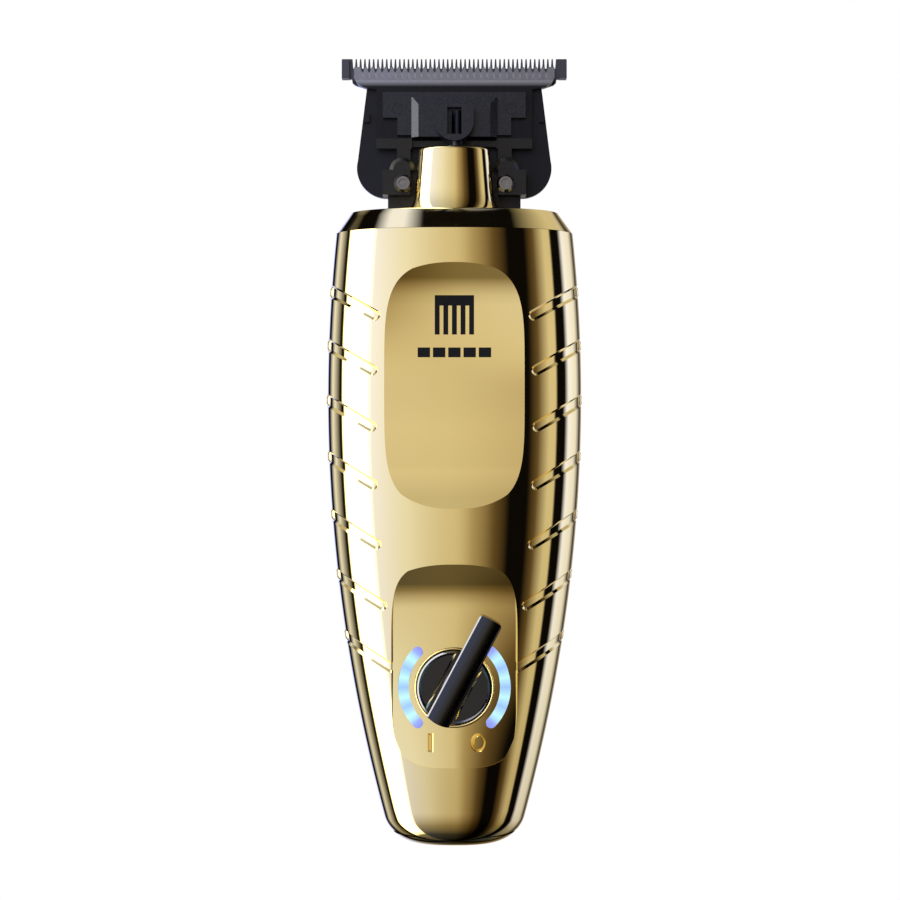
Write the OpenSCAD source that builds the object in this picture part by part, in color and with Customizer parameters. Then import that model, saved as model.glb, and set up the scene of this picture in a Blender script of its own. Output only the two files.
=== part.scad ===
/* [Housing] */
// Widest width of the housing
body_w = 50.6; // [42:0.2:61]
// Height of the housing up to the foot of its top bevel
body_h = 120.3; // [117:0.1:145]
// Distance from the foot of the top bevel down to where the housing is widest and deepest
waist_drop = 32.3; // [26.9:0.1:38.8]
// Depth from the parting plane to the front at the waist
front_d = 17; // [16:0.1:20.5]
// Depth from the parting plane to the back at the waist
back_d = 16.5; // [15.5:0.1:20]
// Width of the housing at its foot
base_w = 25.4; // [24:0.2:31]
// Depth of the foot, in front of and behind the parting plane
base_d = 11.6; // [11.2:0.1:13]
// Wall of the two housing shells
wall = 1.8; // [1.5:0.1:2.2]
// Exponent of the housing's rounded cross section
section_n = 2.5; // [2.2:0.1:3]
// Radius of the rounded foot seen from the front
foot_r = 4.8; // [4:0.1:5]
// How far the rounded foot draws in seen from the side
foot_d = 3.6; // [3:0.1:3.8]
// Height of the rounded foot seen from the side
foot_h = 7; // [5:0.1:8]

/* [Thumb rest] */
// Width of the sunken thumb rest
thumb_w = 27; // [22:0.5:30]
// Height from the housing's top bevel down to the thumb rest
thumb_drop = 6.7; // [5:0.1:8]
// Gap between the thumb rest and the switch panel
panel_gap = 10.7; // [8:0.1:14]
// Depth of the thumb rest's scooped upper end
thumb_deep = 2.3; // [1.7:0.1:2.4]

/* [Switch panel] */
// Height of the switch panel's lower end
panel_z0 = 15.9; // [14:0.1:20]
// Height of the switch panel's upper end
panel_z1 = 55.5; // [50:0.1:60]
// Width of the switch panel
panel_w = 24.4; // [21:0.2:26]
// Distance from the parting plane to the middle of the panel's crowned floor
panel_y = 13.2; // [12.8:0.1:13.4]
// Curvature across the panel's floor at its lower end, which fades out upwards
panel_crown = 0.023; // [0.01:0.001:0.024]
// Height of the switch knob's axis
knob_z = 31.5; // [30:0.1:34]
// Radius of the switch knob
knob_r = 7.2; // [6:0.1:7.6]
// Length of the lever from the knob's axis to its tip
lever_len = 15.3; // [12:0.1:18]
// Width of the lever
lever_w = 4.7; // [4:0.1:5.4]
// Lean of the lever when the clipper is on
lever_lean = 28; // [20:1:30]
// Radius of the light guides' middle line
light_r = 9.9; // [9.6:0.05:9.9]
// Width of a light guide
light_w = 2.1; // [1.8:0.1:2.2]

/* [Side grips] */
// Number of grip grooves on each side
grip_n = 7; // [4:1:8]
// Width of a grip pad
grip_w = 2.6; // [2:0.1:3]
// Length of a grip pad, front to back
grip_len = 6; // [4:0.5:8]
// How deep a grip pad is let into the housing
grip_deep = 0.9; // [0.6:0.1:1.1]
// Width of the slanting groove in front of a grip pad
groove_w = 2.2; // [1.6:0.1:2.8]
// Depth of the slanting groove
groove_deep = 0.4; // [0.3:0.05:0.7]
// How far the groove runs in from the housing's side
groove_run = 9.3; // [7:0.1:10]
// How far the groove drops on its way
groove_drop = 5.4; // [4:0.1:6.5]

/* [Head] */
// Height of the bevelled head cap
cap_h = 4.3; // [3.6:0.1:5.2]
// How far the cap's bevel draws in at the sides
cap_in = 3; // [2.5:0.1:3.6]
// Height of the neck above the cap
neck_h = 11.9; // [9.7:0.1:12]
// Width of the neck at its top
neck_w = 14; // [13:0.2:14.6]
// Width of the T-shaped comb blade over its guard teeth
comb_w = 45; // [42:0.5:54]
// Pitch of the comb blade's teeth
comb_pitch = 0.873; // [0.7:0.001:1.2]
// Pitch of the cutter's teeth
cutter_pitch = 1.31; // [1.1:0.01:1.57]
// Throw of the eccentric, which is half the cutter's stroke
throw = 0.65; // [0.5:0.05:0.8]
// Distance between the two blade screws
screw_gap = 20.2; // [19:0.1:22]

/* [Drive] */
// Diameter of the motor can over its round sides
motor_d = 20.4; // [18:0.1:21]
// Thickness of the motor can over its flats
motor_flat = 15.4; // [14:0.1:15.6]
// Length of the motor can
motor_len = 26; // [22:0.1:31.5]
// Diameter of the motor shaft
shaft_d = 2; // [1.6:0.1:2.4]
// Distance from the parting plane forward to the motor's axis
drive_y = 4.5; // [4.2:0.1:4.8]

/* [Battery and charging] */
// Diameter of the battery cell
cell_d = 14; // [12:0.1:14.5]
// Length of the battery cell
cell_len = 50; // [42:0.5:60]
// Radius of the charging socket's bore
socket_r = 1.8; // [1.5:0.05:2]
// Depth of the charging socket's bore
socket_deep = 10; // [8:0.5:10.5]
// Radius of the foot's plate
base_r = 6.9; // [6.7:0.05:7.1]
// Radius of a charging contact
contact_r = 1.2; // [1:0.05:1.4]

/* [Hidden] */

$fn = 48;
eps = 0.01;
slip = 0.05;          // gap between pieces that are laid or pushed together
run_gap = 0.04;       // radial gap of a shaft that turns in a hole
far = 60;             // longer than anything that is cut

gold = "goldenrod";
black = "dimgray";
steel = "silver";

waist_z = body_h - waist_drop;

// ---- outer form of the housing -------------------------------------------------------------

// Share of the full size that is lost at height z, nought at the waist and one at the foot.
function taper(z) = pow((z - waist_z) / waist_z, 2);
// Share of the foot's rounding, rise high, that is drawn in at height z: nought above it.
function round_off(z, rise) = 1 - sqrt(1 - pow(max(0, 1 - z / rise), 2));
function half_w(z) = body_w / 2 - (body_w - base_w) / 2 * taper(z) - foot_r * round_off(z, foot_r);
function fore(z) = front_d - (front_d - base_d) * taper(z) - foot_d * round_off(z, foot_h);
function aft(z) = back_d - (back_d - base_d) * taper(z) - foot_d * round_off(z, foot_h);

// A power that keeps the sign of its base.
function spow(v, p) = sign(v) * pow(abs(v), p);
// A rounded section as a ring of points: half-width w, f forward, b backward, from angle a0 to a1.
function arc_ring(w, f, b, z, a0, a1, steps, n = section_n) =
    [for (i = [0:steps]) let (t = a0 + (a1 - a0) * i / steps, s = sin(t))
        [w * spow(cos(t), 2 / n), (s < 0 ? f : b) * spow(s, 2 / n), z]];
function full_ring(w, f, b, z, steps, n = section_n) =
    [for (i = [0:steps - 1]) arc_ring(w, f, b, z, 0, 360, steps, n)[i]];
// Depth of the housing's front at x and z, measured forward from the parting plane.
function front_at(x, z) = fore(z) * pow(1 - pow(abs(x) / half_w(z), section_n), 1 / section_n);

// A solid through a stack of rings that all have the same number of points.
module loft(rings) {
    n = len(rings[0]);
    m = len(rings);
    sides = [for (j = [0:m - 2], i = [0:n - 1]) let (k = (i + 1) % n, a = j * n, b = a + n)
        each [[a + i, b + i, b + k], [a + i, b + k, a + k]]];
    foot = [for (i = [0:n - 1]) i];
    head = [for (i = [n - 1:-1:0]) (m - 1) * n + i];
    polyhedron(points = [for (r = rings) each r], faces = concat([foot, head], sides));
}

ring_steps = 34;
foot_steps = 6;
rise_steps = 24;
inner_steps = 14;
outer_z = concat([for (i = [0:foot_steps - 1]) foot_h * (1 - cos(90 * i / foot_steps))],
                 [for (i = [0:rise_steps]) foot_h + (body_h - foot_h) * i / rise_steps]);

// One half of the housing as a solid: the front half, or the back half.
module half_body(front) {
    a0 = front ? 180 : 0;
    loft([for (z = outer_z) arc_ring(half_w(z), fore(z), aft(z), z, a0, a0 + 180, ring_steps)]);
}
// The hollow of one half. It runs past the parting plane and the top, so that it cuts clean.
module half_hollow(front) {
    a0 = front ? 180 : 0;
    top = body_h + 2 * wall;
    past = front ? [[-1, eps], [1, eps]] : [[1, -eps], [-1, -eps]];
    function inner_z(i) = wall + (top - wall) * i / inner_steps;
    function size(z) = max(z, foot_r, foot_h);
    loft([for (i = [0:inner_steps]) let (z = inner_z(i), s = size(min(z, body_h)),
               draw = i == 0 ? 1.5 : 0)
        concat(arc_ring(half_w(s) - wall - draw, fore(s) - wall - draw, aft(s) - wall - draw, z,
                        a0, a0 + 180, ring_steps))]);
}

// ---- what is sunk into the front -----------------------------------------------------------

thumb_z1 = body_h - thumb_drop;
thumb_z0 = panel_z1 + panel_gap;
// A closed outline with flat-arched sides: half-width and half-height, in the XZ plane.
module barrel(w, h, p, q, steps = 64) {
    polygon([for (i = [0:steps - 1]) let (t = 360 * i / steps)
        [w * spow(cos(t), 2 / p), h * spow(sin(t), 2 / q)]]);
}
// Extrudes an outline in XZ along Y, from y0 to y1.
module along_y(y0, y1) {
    translate([0, y1, 0]) rotate([90, 0, 0]) linear_extrude(y1 - y0) children();
}
// Extrudes an outline in YZ along X, both ways.
module along_x(len) {
    translate([-len / 2, 0, 0]) rotate([90, 0, 90]) linear_extrude(len) children();
}
// How far forward a ramp has come at t above its foot: an arc over sweep, then straight at lean.
function ramp(t, sweep, lean) = let (r = sweep / sin(lean))
    t <= 0 ? 0 : t < sweep ? r - sqrt(r * r - t * t) : sweep * tan(lean / 2) + (t - sweep) * tan(lean);
// Height of a ramp that has to come forward by deep.
function ramp_h(deep, sweep, lean) = sweep + (deep - sweep * tan(lean / 2)) / tan(lean);

thumb_lean = 20;
thumb_sweep = 6.8;
thumb_dish = 0.0064;   // curvature across the thumb rest at its upper end
lip_lean = 12;
lip_sweep = 3;
thumb_low = front_at(thumb_w * 0.48, thumb_z0 + 4);      // the floor above the lower lip
thumb_high = fore(thumb_z1) - thumb_deep;                // the floor below the upper ramp
thumb_ramp = thumb_z1 - ramp_h(thumb_deep, thumb_sweep, thumb_lean);
thumb_lip = thumb_z0 + ramp_h(fore(thumb_z0) - thumb_low, lip_sweep, lip_lean);
function thumb_floor(x, z) =
    let (s = (z - thumb_lip) / (thumb_ramp - thumb_lip), mid = (thumb_z0 + thumb_z1) / 2)
    thumb_low + (thumb_high - thumb_low) * min(max(s, 0), 1)
        + ramp(z - thumb_ramp, thumb_sweep, thumb_lean) + ramp(thumb_lip - z, lip_sweep, lip_lean)
        + x * x / 2 * thumb_dish * max(0, z - mid) / (thumb_z1 - mid);

panel_lean = 26;
panel_sweep = 5;
panel_ramp = panel_z1 - ramp_h(fore(panel_z1) - panel_y, panel_sweep, panel_lean);
function panel_floor(x, z) = panel_y + ramp(z - panel_ramp, panel_sweep, panel_lean)
    - x * x / 2 * panel_crown * (panel_z1 - z) / (panel_z1 - panel_z0);

// Everything in front of a floor, out to half on both sides, through the heights given.
module in_front(half, heights, depth_at, steps = 14) {
    loft([for (z = heights) concat([[-half, -far, z], [half, -far, z]],
        [for (i = [0:steps]) let (x = half - 2 * half * i / steps) [x, -depth_at(x, z), z]])]);
}
function spread(a, b, n) = [for (i = [0:n]) a + (b - a) * i / n];
module thumb_cut() {
    heights = concat([thumb_z0 - 1], spread(thumb_z0, thumb_lip, 4),
                     spread(thumb_ramp, thumb_ramp + thumb_sweep, 8), [thumb_z1 + 1]);
    intersection() {
        along_y(-far, 0) translate([0, (thumb_z0 + thumb_z1) / 2])
            barrel(thumb_w / 2, (thumb_z1 - thumb_z0) / 2, 3, 4.6);
        in_front(thumb_w / 2 + 1, heights, function(x, z) thumb_floor(x, z));
    }
}
module panel_cut() {
    intersection() {
        along_y(-far, 0) translate([0, (panel_z0 + panel_z1) / 2])
            barrel(panel_w / 2, (panel_z1 - panel_z0) / 2, 4, 5);
        panel_front(0);
    }
}
// What lies more than proud in front of the panel's floor.
module panel_front(proud) {
    heights = concat([panel_z0 - 1, (panel_z0 + panel_ramp) / 2],
                     spread(panel_ramp, panel_ramp + panel_sweep, 8), [panel_z1 + 1]);
    in_front(panel_w / 2 + 1, heights, function(x, z) panel_floor(x, z) + proud);
}

// ---- light guides, seat and switch ---------------------------------------------------------

light_turn = 44;      // half of the arc that a light guide spans
bezel_r = knob_r + 0.6;
bezel_hole = knob_r + 0.12;
panel_wall = 1.6;

// Turns a solid whose axis is +Z so that it points forward out of the switch panel.
module at_knob(y = panel_y) {
    translate([0, -y, knob_z]) rotate([90, 0, 0]) children();
}
// A light guide's band with round ends, on the side that dir names, from depth z0 to z1.
module light_band(dir, w, z0, z1) {
    a0 = (dir > 0 ? 0 : 180) - light_turn;
    translate([0, 0, z0]) {
        rotate([0, 0, a0]) rotate_extrude(angle = 2 * light_turn)
            translate([light_r - w / 2, 0]) square([w, z1 - z0]);
        for (a = [a0, a0 + 2 * light_turn])
            rotate([0, 0, a]) translate([light_r, 0, 0]) cylinder(d = w, h = z1 - z0);
    }
}
module light_guide(dir) {
    color("aliceblue") difference() {
        at_knob() light_band(dir, light_w - 2 * slip, -4.4, 2);
        panel_front(0.05);
    }
}
module switch_bezel() {
    color(gold) difference() {
        at_knob() difference() {
            translate([0, 0, -panel_wall - 1]) union() {
                cylinder(r = bezel_r - slip, h = panel_wall + 2);
                cylinder(r = bezel_r + 0.5, h = 1 - slip);
            }
            translate([0, 0, -far / 2]) cylinder(r = bezel_hole, h = far);
        }
        panel_front(0.15);
    }
}

stem_r = 2;
stem_hub = panel_wall + 0.8;   // how far the knob's skirt reaches into the panel
knob_proud = 1.2;
lever_proud = 5.2;
module switch_knob() {
    half = lever_w / 2;
    color(black) at_knob() rotate([0, 0, -lever_lean]) difference() {
        union() {
            translate([0, 0, -stem_hub]) cylinder(r = knob_r, h = stem_hub + knob_proud);
            // the lever: a bar with a crowned face that overhangs the disc upwards
            intersection() {
                translate([-half, -knob_r, 0.4]) cube([lever_w, knob_r + lever_len, lever_proud]);
                translate([0, 0, lever_proud - 9.6]) rotate([-90, 0, 0])
                    translate([0, 0, -far / 2]) cylinder(r = 10, h = far);
                union() {
                    translate([0, 0, -far / 2]) cylinder(r = knob_r, h = far);
                    translate([-half, 0, -far / 2]) cube([lever_w, lever_len - 1, far]);
                    intersection() {
                        translate([0, 0, -far / 2]) cylinder(r = lever_len, h = far);
                        translate([-half, 0, -far / 2]) cube([lever_w, lever_len, far]);
                    }
                }
            }
        }
        translate([0, 0, -stem_hub - eps]) cylinder(r = stem_r + slip, h = stem_hub - 0.4);
        for (dir = [-1, 1])
            intersection() {
                translate([0, 0, knob_proud - 0.5]) cylinder(r = knob_r - 0.7, h = 1);
                translate([dir > 0 ? half + 0.7 : -half - 0.7 - far, -far / 2, 0])
                    cube([far, far, far]);
            }
    }
}

// ---- boards, switch body and their heights -------------------------------------------------

board_y = 5.4;        // back face of the circuit board, forward of the parting plane
board_t = 1.2;
board_w = 22;
board_front = board_y + board_t;
switch_deep = panel_y - stem_hub - board_front - 1.2;
stem_len = panel_y - board_front - 1.4;

module knob_stem() {
    color(steel) at_knob() translate([0, 0, -stem_len]) difference() {
        cylinder(r = stem_r, h = stem_len - 0.45);
        translate([0, 0, 1.3]) difference() {
            cylinder(r = stem_r + 1, h = 0.5);
            cylinder(r = stem_r - 0.4, h = 0.5);
        }
    }
}
module stem_clip() {
    color(steel) at_knob() translate([0, 0, -stem_len + 1.35]) difference() {
        cylinder(r = stem_r + 0.9, h = 0.4);
        translate([0, 0, -1]) cylinder(r = stem_r - 0.35, h = 3);
        translate([-1, 0, -1]) cube([2, far, 3]);
    }
}
module switch_body() {
    color(black) at_knob(board_front) difference() {
        translate([-6, -6, 0]) cube([12, 12, switch_deep]);
        translate([0, 0, 0.4]) cylinder(r = stem_r + 1.1, h = far);
    }
}

top_room = 6.3;       // from the motor's top to the top of the housing
motor_z1 = body_h - top_room;
motor_z0 = motor_z1 - motor_len;
cell_z1 = motor_z0 - 4;
cell_z0 = cell_z1 - cell_len;
cell_y = 3.4;         // the cell's axis, behind the parting plane
board_z0 = 15;
board_z1 = cell_z1 - 0.5;

module circuit_board() {
    color("darkgreen") difference() {
        translate([-board_w / 2, -board_front, board_z0])
            cube([board_w, board_t, board_z1 - board_z0]);
        for (x = board_holes_x, z = board_holes_z)
            translate([x, 0, z]) rotate([90, 0, 0]) cylinder(r = 1.1, h = far);
    }
}
board_holes_x = [-board_w / 2 + 2.4, board_w / 2 - 2.4];
board_holes_z = [board_z0 + 2.6, board_z1 - 2.6];
module board_parts() {
    color(black) translate([0, -board_front, 0]) {
        translate([-3.5, -1.1 - eps, 60]) cube([7, 1.1, 7]);
        translate([-8, -2.4, 52]) cube([4.6, 2.4 - eps, 4.6]);
        translate([4, -1, 50]) cube([3.2, 1 - eps, 5]);
        for (i = [0:3]) translate([4.2 + 1.6 * i - 2, -0.6, 62]) cube([0.8, 0.6 - eps, 1.6]);
        for (i = [0:2]) translate([-8 + 1.8 * i, -0.6, 47]) cube([0.9, 0.6 - eps, 1.6]);
    }
}
// Four lamps stand behind each light guide.
module status_leds() {
    color("white") for (dir = [-1, 1], i = [-1.5:1:1.5])
        at_knob(board_front) rotate([0, 0, (dir > 0 ? 0 : 180) + i * 22])
            translate([light_r - 0.8, -0.8, eps]) cube([1.6, 1.6, 1.1]);
}

// ---- the housing's shells ------------------------------------------------------------------

base_t = 1;
socket_y = 3.2;       // the socket's axis, behind the parting plane
socket_wall = 1.2;
socket_out = socket_r + socket_wall;
contact_x = 3.4;
contact_y = 3.8;      // the contacts' axes, in front of the parting plane

// What passes through the foot: the foot plate's seat, the socket and the two contacts.
module foot_cut() {
    translate([0, 0, -1]) cylinder(r = base_r + slip, h = 1 + base_t + slip);
    translate([0, socket_y, -1]) cylinder(r = socket_out + slip, h = 1 + foot_r);
    for (x = [-1, 1]) translate([x * contact_x, -contact_y, -1])
        cylinder(r = contact_r + slip, h = 1 + foot_r);
}
module base_plate() {
    color(gold) difference() {
        cylinder(r = base_r, h = base_t);
        translate([0, socket_y, -1]) cylinder(r = socket_out + slip, h = 3);
        for (x = [-1, 1]) translate([x * contact_x, -contact_y, -1])
            cylinder(r = contact_r + slip, h = 3);
    }
}
module charge_socket() {
    color(black) translate([0, socket_y, 0]) difference() {
        union() {
            cylinder(r = socket_out, h = socket_deep + 1.4);
            translate([0, 0, wall + slip]) cylinder(r = socket_out + 0.8, h = 1.2);
        }
        translate([0, 0, -1]) cylinder(r = socket_r, h = socket_deep + 1);
    }
}
module dock_contacts() {
    color(gold) for (x = [-1, 1]) translate([x * contact_x, -contact_y, 0]) {
        cylinder(r = contact_r, h = 5.5);
        translate([0, 0, wall + slip]) cylinder(r = contact_r + 0.5, h = 0.8);
    }
}

grip_z1 = body_h - 11.4;
grip_z0 = panel_z1 - 14.7;
// Heights of the grips, drawn slightly further apart towards the foot.
function grip_z(i) = let (s = i / (grip_n - 1))
    grip_z1 - (grip_z1 - grip_z0) * (0.92 * s + 0.08 * s * s);
module grip_pad(dir, z, clear) {
    reach = half_w(z) + 0.12;
    w = grip_w + 2 * clear;
    len = grip_len + 2 * clear;
    translate([dir * (reach - grip_deep - clear), 0, z]) rotate([0, dir * 90, 0])
        linear_extrude(grip_deep + clear + (clear > 0 ? 2 : 0)) union() {
            square([w, len - w], center = true);
            for (y = [-1, 1]) translate([0, y * (len - w) / 2]) circle(d = w);
        }
}
module grip_pads(dir) {
    color(gold) for (i = [0:grip_n - 1]) grip_pad(dir, grip_z(i), 0);
}
module grip_pockets() {
    for (dir = [-1, 1], i = [0:grip_n - 1]) grip_pad(dir, grip_z(i), slip);
}
// The slanting grooves that run from the grip pads round to the front, as deep as groove_deep.
module grip_grooves() {
    lead = grip_len / 2 + 0.6;
    intersection() {
        for (dir = [-1, 1], i = [0:grip_n - 1]) let (z = grip_z(i), x = half_w(z))
            along_y(-far, -lead) polygon(groove_outline(dir, x - groove_run, z - groove_drop, x, z));
        difference() {
            half_body(true);
            loft([for (z = [25:(body_h - 25) / 20:body_h + 1])
                arc_ring(half_w(z) - groove_deep, fore(z) - groove_deep, 1, z, 180, 360, ring_steps)]);
        }
    }
}
// A groove's outline in XZ: a straight band from its rounded tip at x0, z0 out past x1, z1.
function groove_outline(dir, x0, z0, x1, z1) =
    let (a = atan2(z1 - z0, x1 - x0), r = groove_w / 2, len = 14)
    [for (p = concat([[len, -r]], [for (t = [-90:-30:-270]) [r * cos(t), r * sin(t)]], [[len, r]]))
        [dir * (x0 + p.x * cos(a) - p.y * sin(a)), z0 + p.x * sin(a) + p.y * cos(a)]];

posts_at = [[8.6, 9.5], [19, body_h - 24.5]];
post_r = 2.6;
screw_r = 1.1;
// Turns a solid whose axis is +Z so that it points forward, at the housing's screw posts.
module at_posts() {
    for (dir = [-1, 1], p = posts_at)
        translate([dir * p[0], 0, p[1]]) rotate([90, 0, 0]) children();
}
// The posts themselves: they run from the parting plane into the half's own wall.
module posts(front) {
    intersection() {
        half_body(front);
        at_posts() translate([0, 0, front ? 0 : -far]) cylinder(r = post_r, h = far);
    }
}
module backing() {
    mid = (panel_z0 + panel_z1) / 2;
    intersection() {
        half_body(true);
        union() {
            along_y(-far, -(panel_y - panel_wall))
                translate([-panel_w / 2 - 1.5, panel_z0 - 2])
                    square([panel_w + 3, panel_z1 - panel_z0 + 8]);
            along_y(-far, -(fore(thumb_z1) - thumb_deep - wall))
                translate([-thumb_w / 2 - 1.5, thumb_z0 + 0.5])
                    square([thumb_w + 3, thumb_z1 - thumb_z0 + 3.5]);
        }
    }
}
module front_housing() {
    color(gold) difference() {
        union() {
            difference() {
                half_body(true);
                half_hollow(true);
            }
            backing();
            posts(true);
        }
        thumb_cut();
        panel_cut();
        at_knob() {
            translate([0, 0, -far / 2]) cylinder(r = bezel_r, h = far);
            for (dir = [-1, 1]) light_band(dir, light_w, -far / 2, far / 2);
        }
        translate([0, -panel_y + panel_wall + 1 - slip, knob_z]) rotate([-90, 0, 0])
            cylinder(r = bezel_r + 0.6, h = 4);
        grip_pockets();
        grip_grooves();
        foot_cut();
        at_posts() translate([0, 0, -1]) cylinder(r = screw_r - 0.2, h = 6);
    }
}
module back_housing() {
    color(gold) difference() {
        union() {
            difference() {
                half_body(false);
                half_hollow(false);
            }
            posts(false);
        }
        grip_pockets();
        foot_cut();
        at_posts() {
            translate([0, 0, -far]) cylinder(r = screw_r, h = far + 1);
            translate([0, 0, -far - head_seat]) cylinder(r = screw_r + 1.1, h = far);
        }
    }
}
head_seat = 7;        // depth of a housing screw's head behind the parting plane
module housing_screws() {
    color(steel) at_posts() {
        translate([0, 0, -head_seat - slip]) cylinder(r = screw_r - 0.2, h = head_seat + 4);
        translate([0, 0, -head_seat - 1.4]) difference() {
            cylinder(r = screw_r + 0.9, h = 1.4 - slip);
            translate([0, 0, -1]) cylinder(r = 0.8, h = 1.7, $fn = 6);
        }
    }
}

// ---- head cap and neck ---------------------------------------------------------------------

cap_z0 = body_h + slip;
cap_z1 = body_h + cap_h;
cap_wall = 1.6;
neck_y = 2;           // how far the neck's back edge lies in front of the parting plane
neck_z1 = cap_z1 + neck_h;
neck_front = 10.4;    // front of the neck at its top
neck_skirt = 9.2;     // half-width of the neck's flared foot
neck_wall = 1.3;
neck_lean = 0.9;      // how much wider the neck's tube is at its foot, on each side
mouth_w = 13.4;       // half-width of the opening in the cap
mouth_back = 5.5;     // the opening's reach behind the parting plane

function cap_w(s) = half_w(body_h) - cap_in * s;
function cap_f(s) = fore(body_h) - cap_in * 1.35 * s;
function cap_b(s) = aft(body_h) - cap_in * 1.35 * s;
module head_cap() {
    steps = 64;
    color(gold) difference() {
        loft([for (s = [0, 0.12, 0.5, 1])
            full_ring(cap_w(s), cap_f(s), cap_b(s), cap_z0 + (cap_z1 - cap_z0) * s, steps)]);
        loft([for (s = [0, 1])
            full_ring(cap_w(s) - cap_wall, cap_f(s) - cap_wall, cap_b(s) - cap_wall,
                      s == 0 ? cap_z0 - 1 : cap_z1 - cap_wall, steps)]);
        translate([-mouth_w, -neck_y, cap_z0]) cube([2 * mouth_w, neck_y + mouth_back, far]);
        translate([0, 0, cap_z0]) linear_extrude(far)
            neck_outline(neck_skirt - 1.6, cap_f(1) - 2.6);
    }
}
// The neck's section: flat along its back edge and rounded at the front.
module neck_outline(w, f, r = 5) {
    rr = min(r, w - 0.5);
    translate([-w, -f + rr]) square([2 * w, f - rr - neck_y]);
    for (x = [-1, 1]) translate([x * (w - rr), -f + rr]) circle(r = rr);
    translate([-w + rr, -f]) square([2 * (w - rr), rr + 1]);
}
// The neck's solid with d taken off all round: a flared skirt that rises to a leaning tube.
module neck_form(d, z0, z1) {
    n = 12;
    rings = [for (i = [0:n]) let (s = i / n, z = z0 + (z1 - z0) * s, u = (z - cap_z1) / neck_h,
                   flare = pow(max(0, 1 - u * 2.6), 3),
                   w = neck_w / 2 + neck_lean * (1 - u)
                       + (neck_skirt - neck_w / 2 - neck_lean) * flare - d,
                   f = neck_front + 0.9 * flare - d)
        neck_ring(w, f, z, d)];
    loft(rings);
}
function neck_ring(w, f, z, d) = let (rr = 4.8 - d, m = 8)
    concat([[w, -neck_y + (d > 0 ? 1 : 0), z], [-w, -neck_y + (d > 0 ? 1 : 0), z]],
           [for (i = [0:m]) let (a = 180 + 90 * i / m)
               [-w + rr + rr * cos(a), -f + rr + rr * sin(a), z]],
           [for (i = [0:m]) let (a = 270 + 90 * i / m)
               [w - rr + rr * cos(a), -f + rr + rr * sin(a), z]]);
module neck_shroud() {
    color(gold) difference() {
        neck_form(0, cap_z1 + slip, neck_z1);
        neck_form(neck_wall, cap_z1 - 1, neck_z1 + 1);
    }
}

module neck_seal() {
    color(black) difference() {
        neck_form(neck_wall + slip, neck_z1 - 2.4, neck_z1 - 1.2);
        translate([-far, -neck_y - 0.5, 0]) cube([2 * far, far, 3 * far]);
        translate([0, -drive_y, 0]) cylinder(r = nose_r + throw + 0.5, h = 3 * far);
    }
}

// ---- chassis, battery and board ------------------------------------------------------------

rail_x = motor_d / 2 + 1;
rail_w = 3.8;
rail_y0 = -8;
rail_y1 = 1;
tray_y = board_y - 0.2;       // front face of the tray, forward of the parting plane
tray_t = 1.3;
cell_r = cell_d / 2;
floor_z0 = cell_z1 + 0.4;
floor_t = 2.2;
lead_r = 0.6;
motor_lead_x = 4;
ear_z = posts_at[1][1] - post_r - 0.6;    // top of the ears that steady the chassis
motor_lead_y = board_front + 1;

// A box between two corners.
module block(p, q) {
    translate(p) cube(q - p);
}
// A round rod from p to q.
module rod(p, q, r) {
    d = q - p;
    translate(p) rotate([0, atan2(norm([d.x, d.y]), d.z), atan2(d.y, d.x)])
        cylinder(r = r, h = norm(d));
}
module wire(points, r) {
    for (i = [0:len(points) - 2]) rod(points[i], points[i + 1], r);
    for (i = [1:1:len(points) - 2]) translate(points[i]) sphere(r = r);
}
module chassis() {
    color(black) difference() {
        union() {
            block([-board_w / 2, -tray_y, board_z0 - 1], [board_w / 2, -tray_y + tray_t, floor_z0]);
            for (dir = [0, 1]) mirror([dir, 0, 0]) {
                block([cell_r + 0.15, -tray_y + 1, cell_z0], [cell_r + 1.7, 5, floor_z0]);
                block([rail_x, rail_y0, floor_z0], [rail_x + rail_w, rail_y1, motor_z1]);
                block([rail_x, -1, ear_z - 4], [half_w(ear_z - 2) - wall - 0.3, 1, ear_z]);
            }
            block([-cell_r - 1.7, -tray_y + 1, cell_z0 - 1.8],
                  [cell_r + 1.7, cell_y + cell_r - 2, cell_z0 - 0.3]);
            block([-rail_x - rail_w, -11.5, floor_z0], [rail_x + rail_w, 9, floor_z0 + floor_t]);
            for (x = board_holes_x, z = board_holes_z) translate([x, -tray_y + 1, z])
                rotate([90, 0, 0]) cylinder(r = 1.8, h = 1.18);
        }
        translate([0, cell_y, 0]) cylinder(r = 2.6, h = cell_z0 + 5);
        translate([0, 0, lead_z]) rotate([90, 0, 0]) cylinder(r = lead_r + 0.3, h = far);
        for (x = board_holes_x, z = board_holes_z)
            translate([x, 0, z]) rotate([90, 0, 0]) cylinder(r = 0.85, h = far);
        for (x = [-1, 1]) {
            translate([x * motor_lead_x, -motor_lead_y, floor_z0 - 1])
                cylinder(r = lead_r + 0.1, h = far / 2);
            translate([x * bolt_x, bolt_y, motor_z1 - 8]) cylinder(r = bolt_r, h = far);
        }
    }
}
module board_screws() {
    color(steel) for (x = board_holes_x, z = board_holes_z) translate([x, 0, z])
        rotate([90, 0, 0]) difference() {
            union() {
                translate([0, 0, tray_y - 1.2]) cylinder(r = 0.85 - slip, h = 3);
                translate([0, 0, board_front + slip]) cylinder(r = 1.7, h = 0.9);
            }
            translate([0, 0, board_front + 0.5]) cylinder(r = 0.7, h = 2, $fn = 6);
        }
}
lead_z = cell_z0 - 4;
module battery_cell() {
    color("steelblue") translate([0, cell_y, cell_z0]) {
        cylinder(r = cell_r, h = cell_len - 1);
        translate([0, 0, cell_len - 1 - eps]) cylinder(r = cell_r * 0.4, h = 1 + eps);
    }
}
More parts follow.
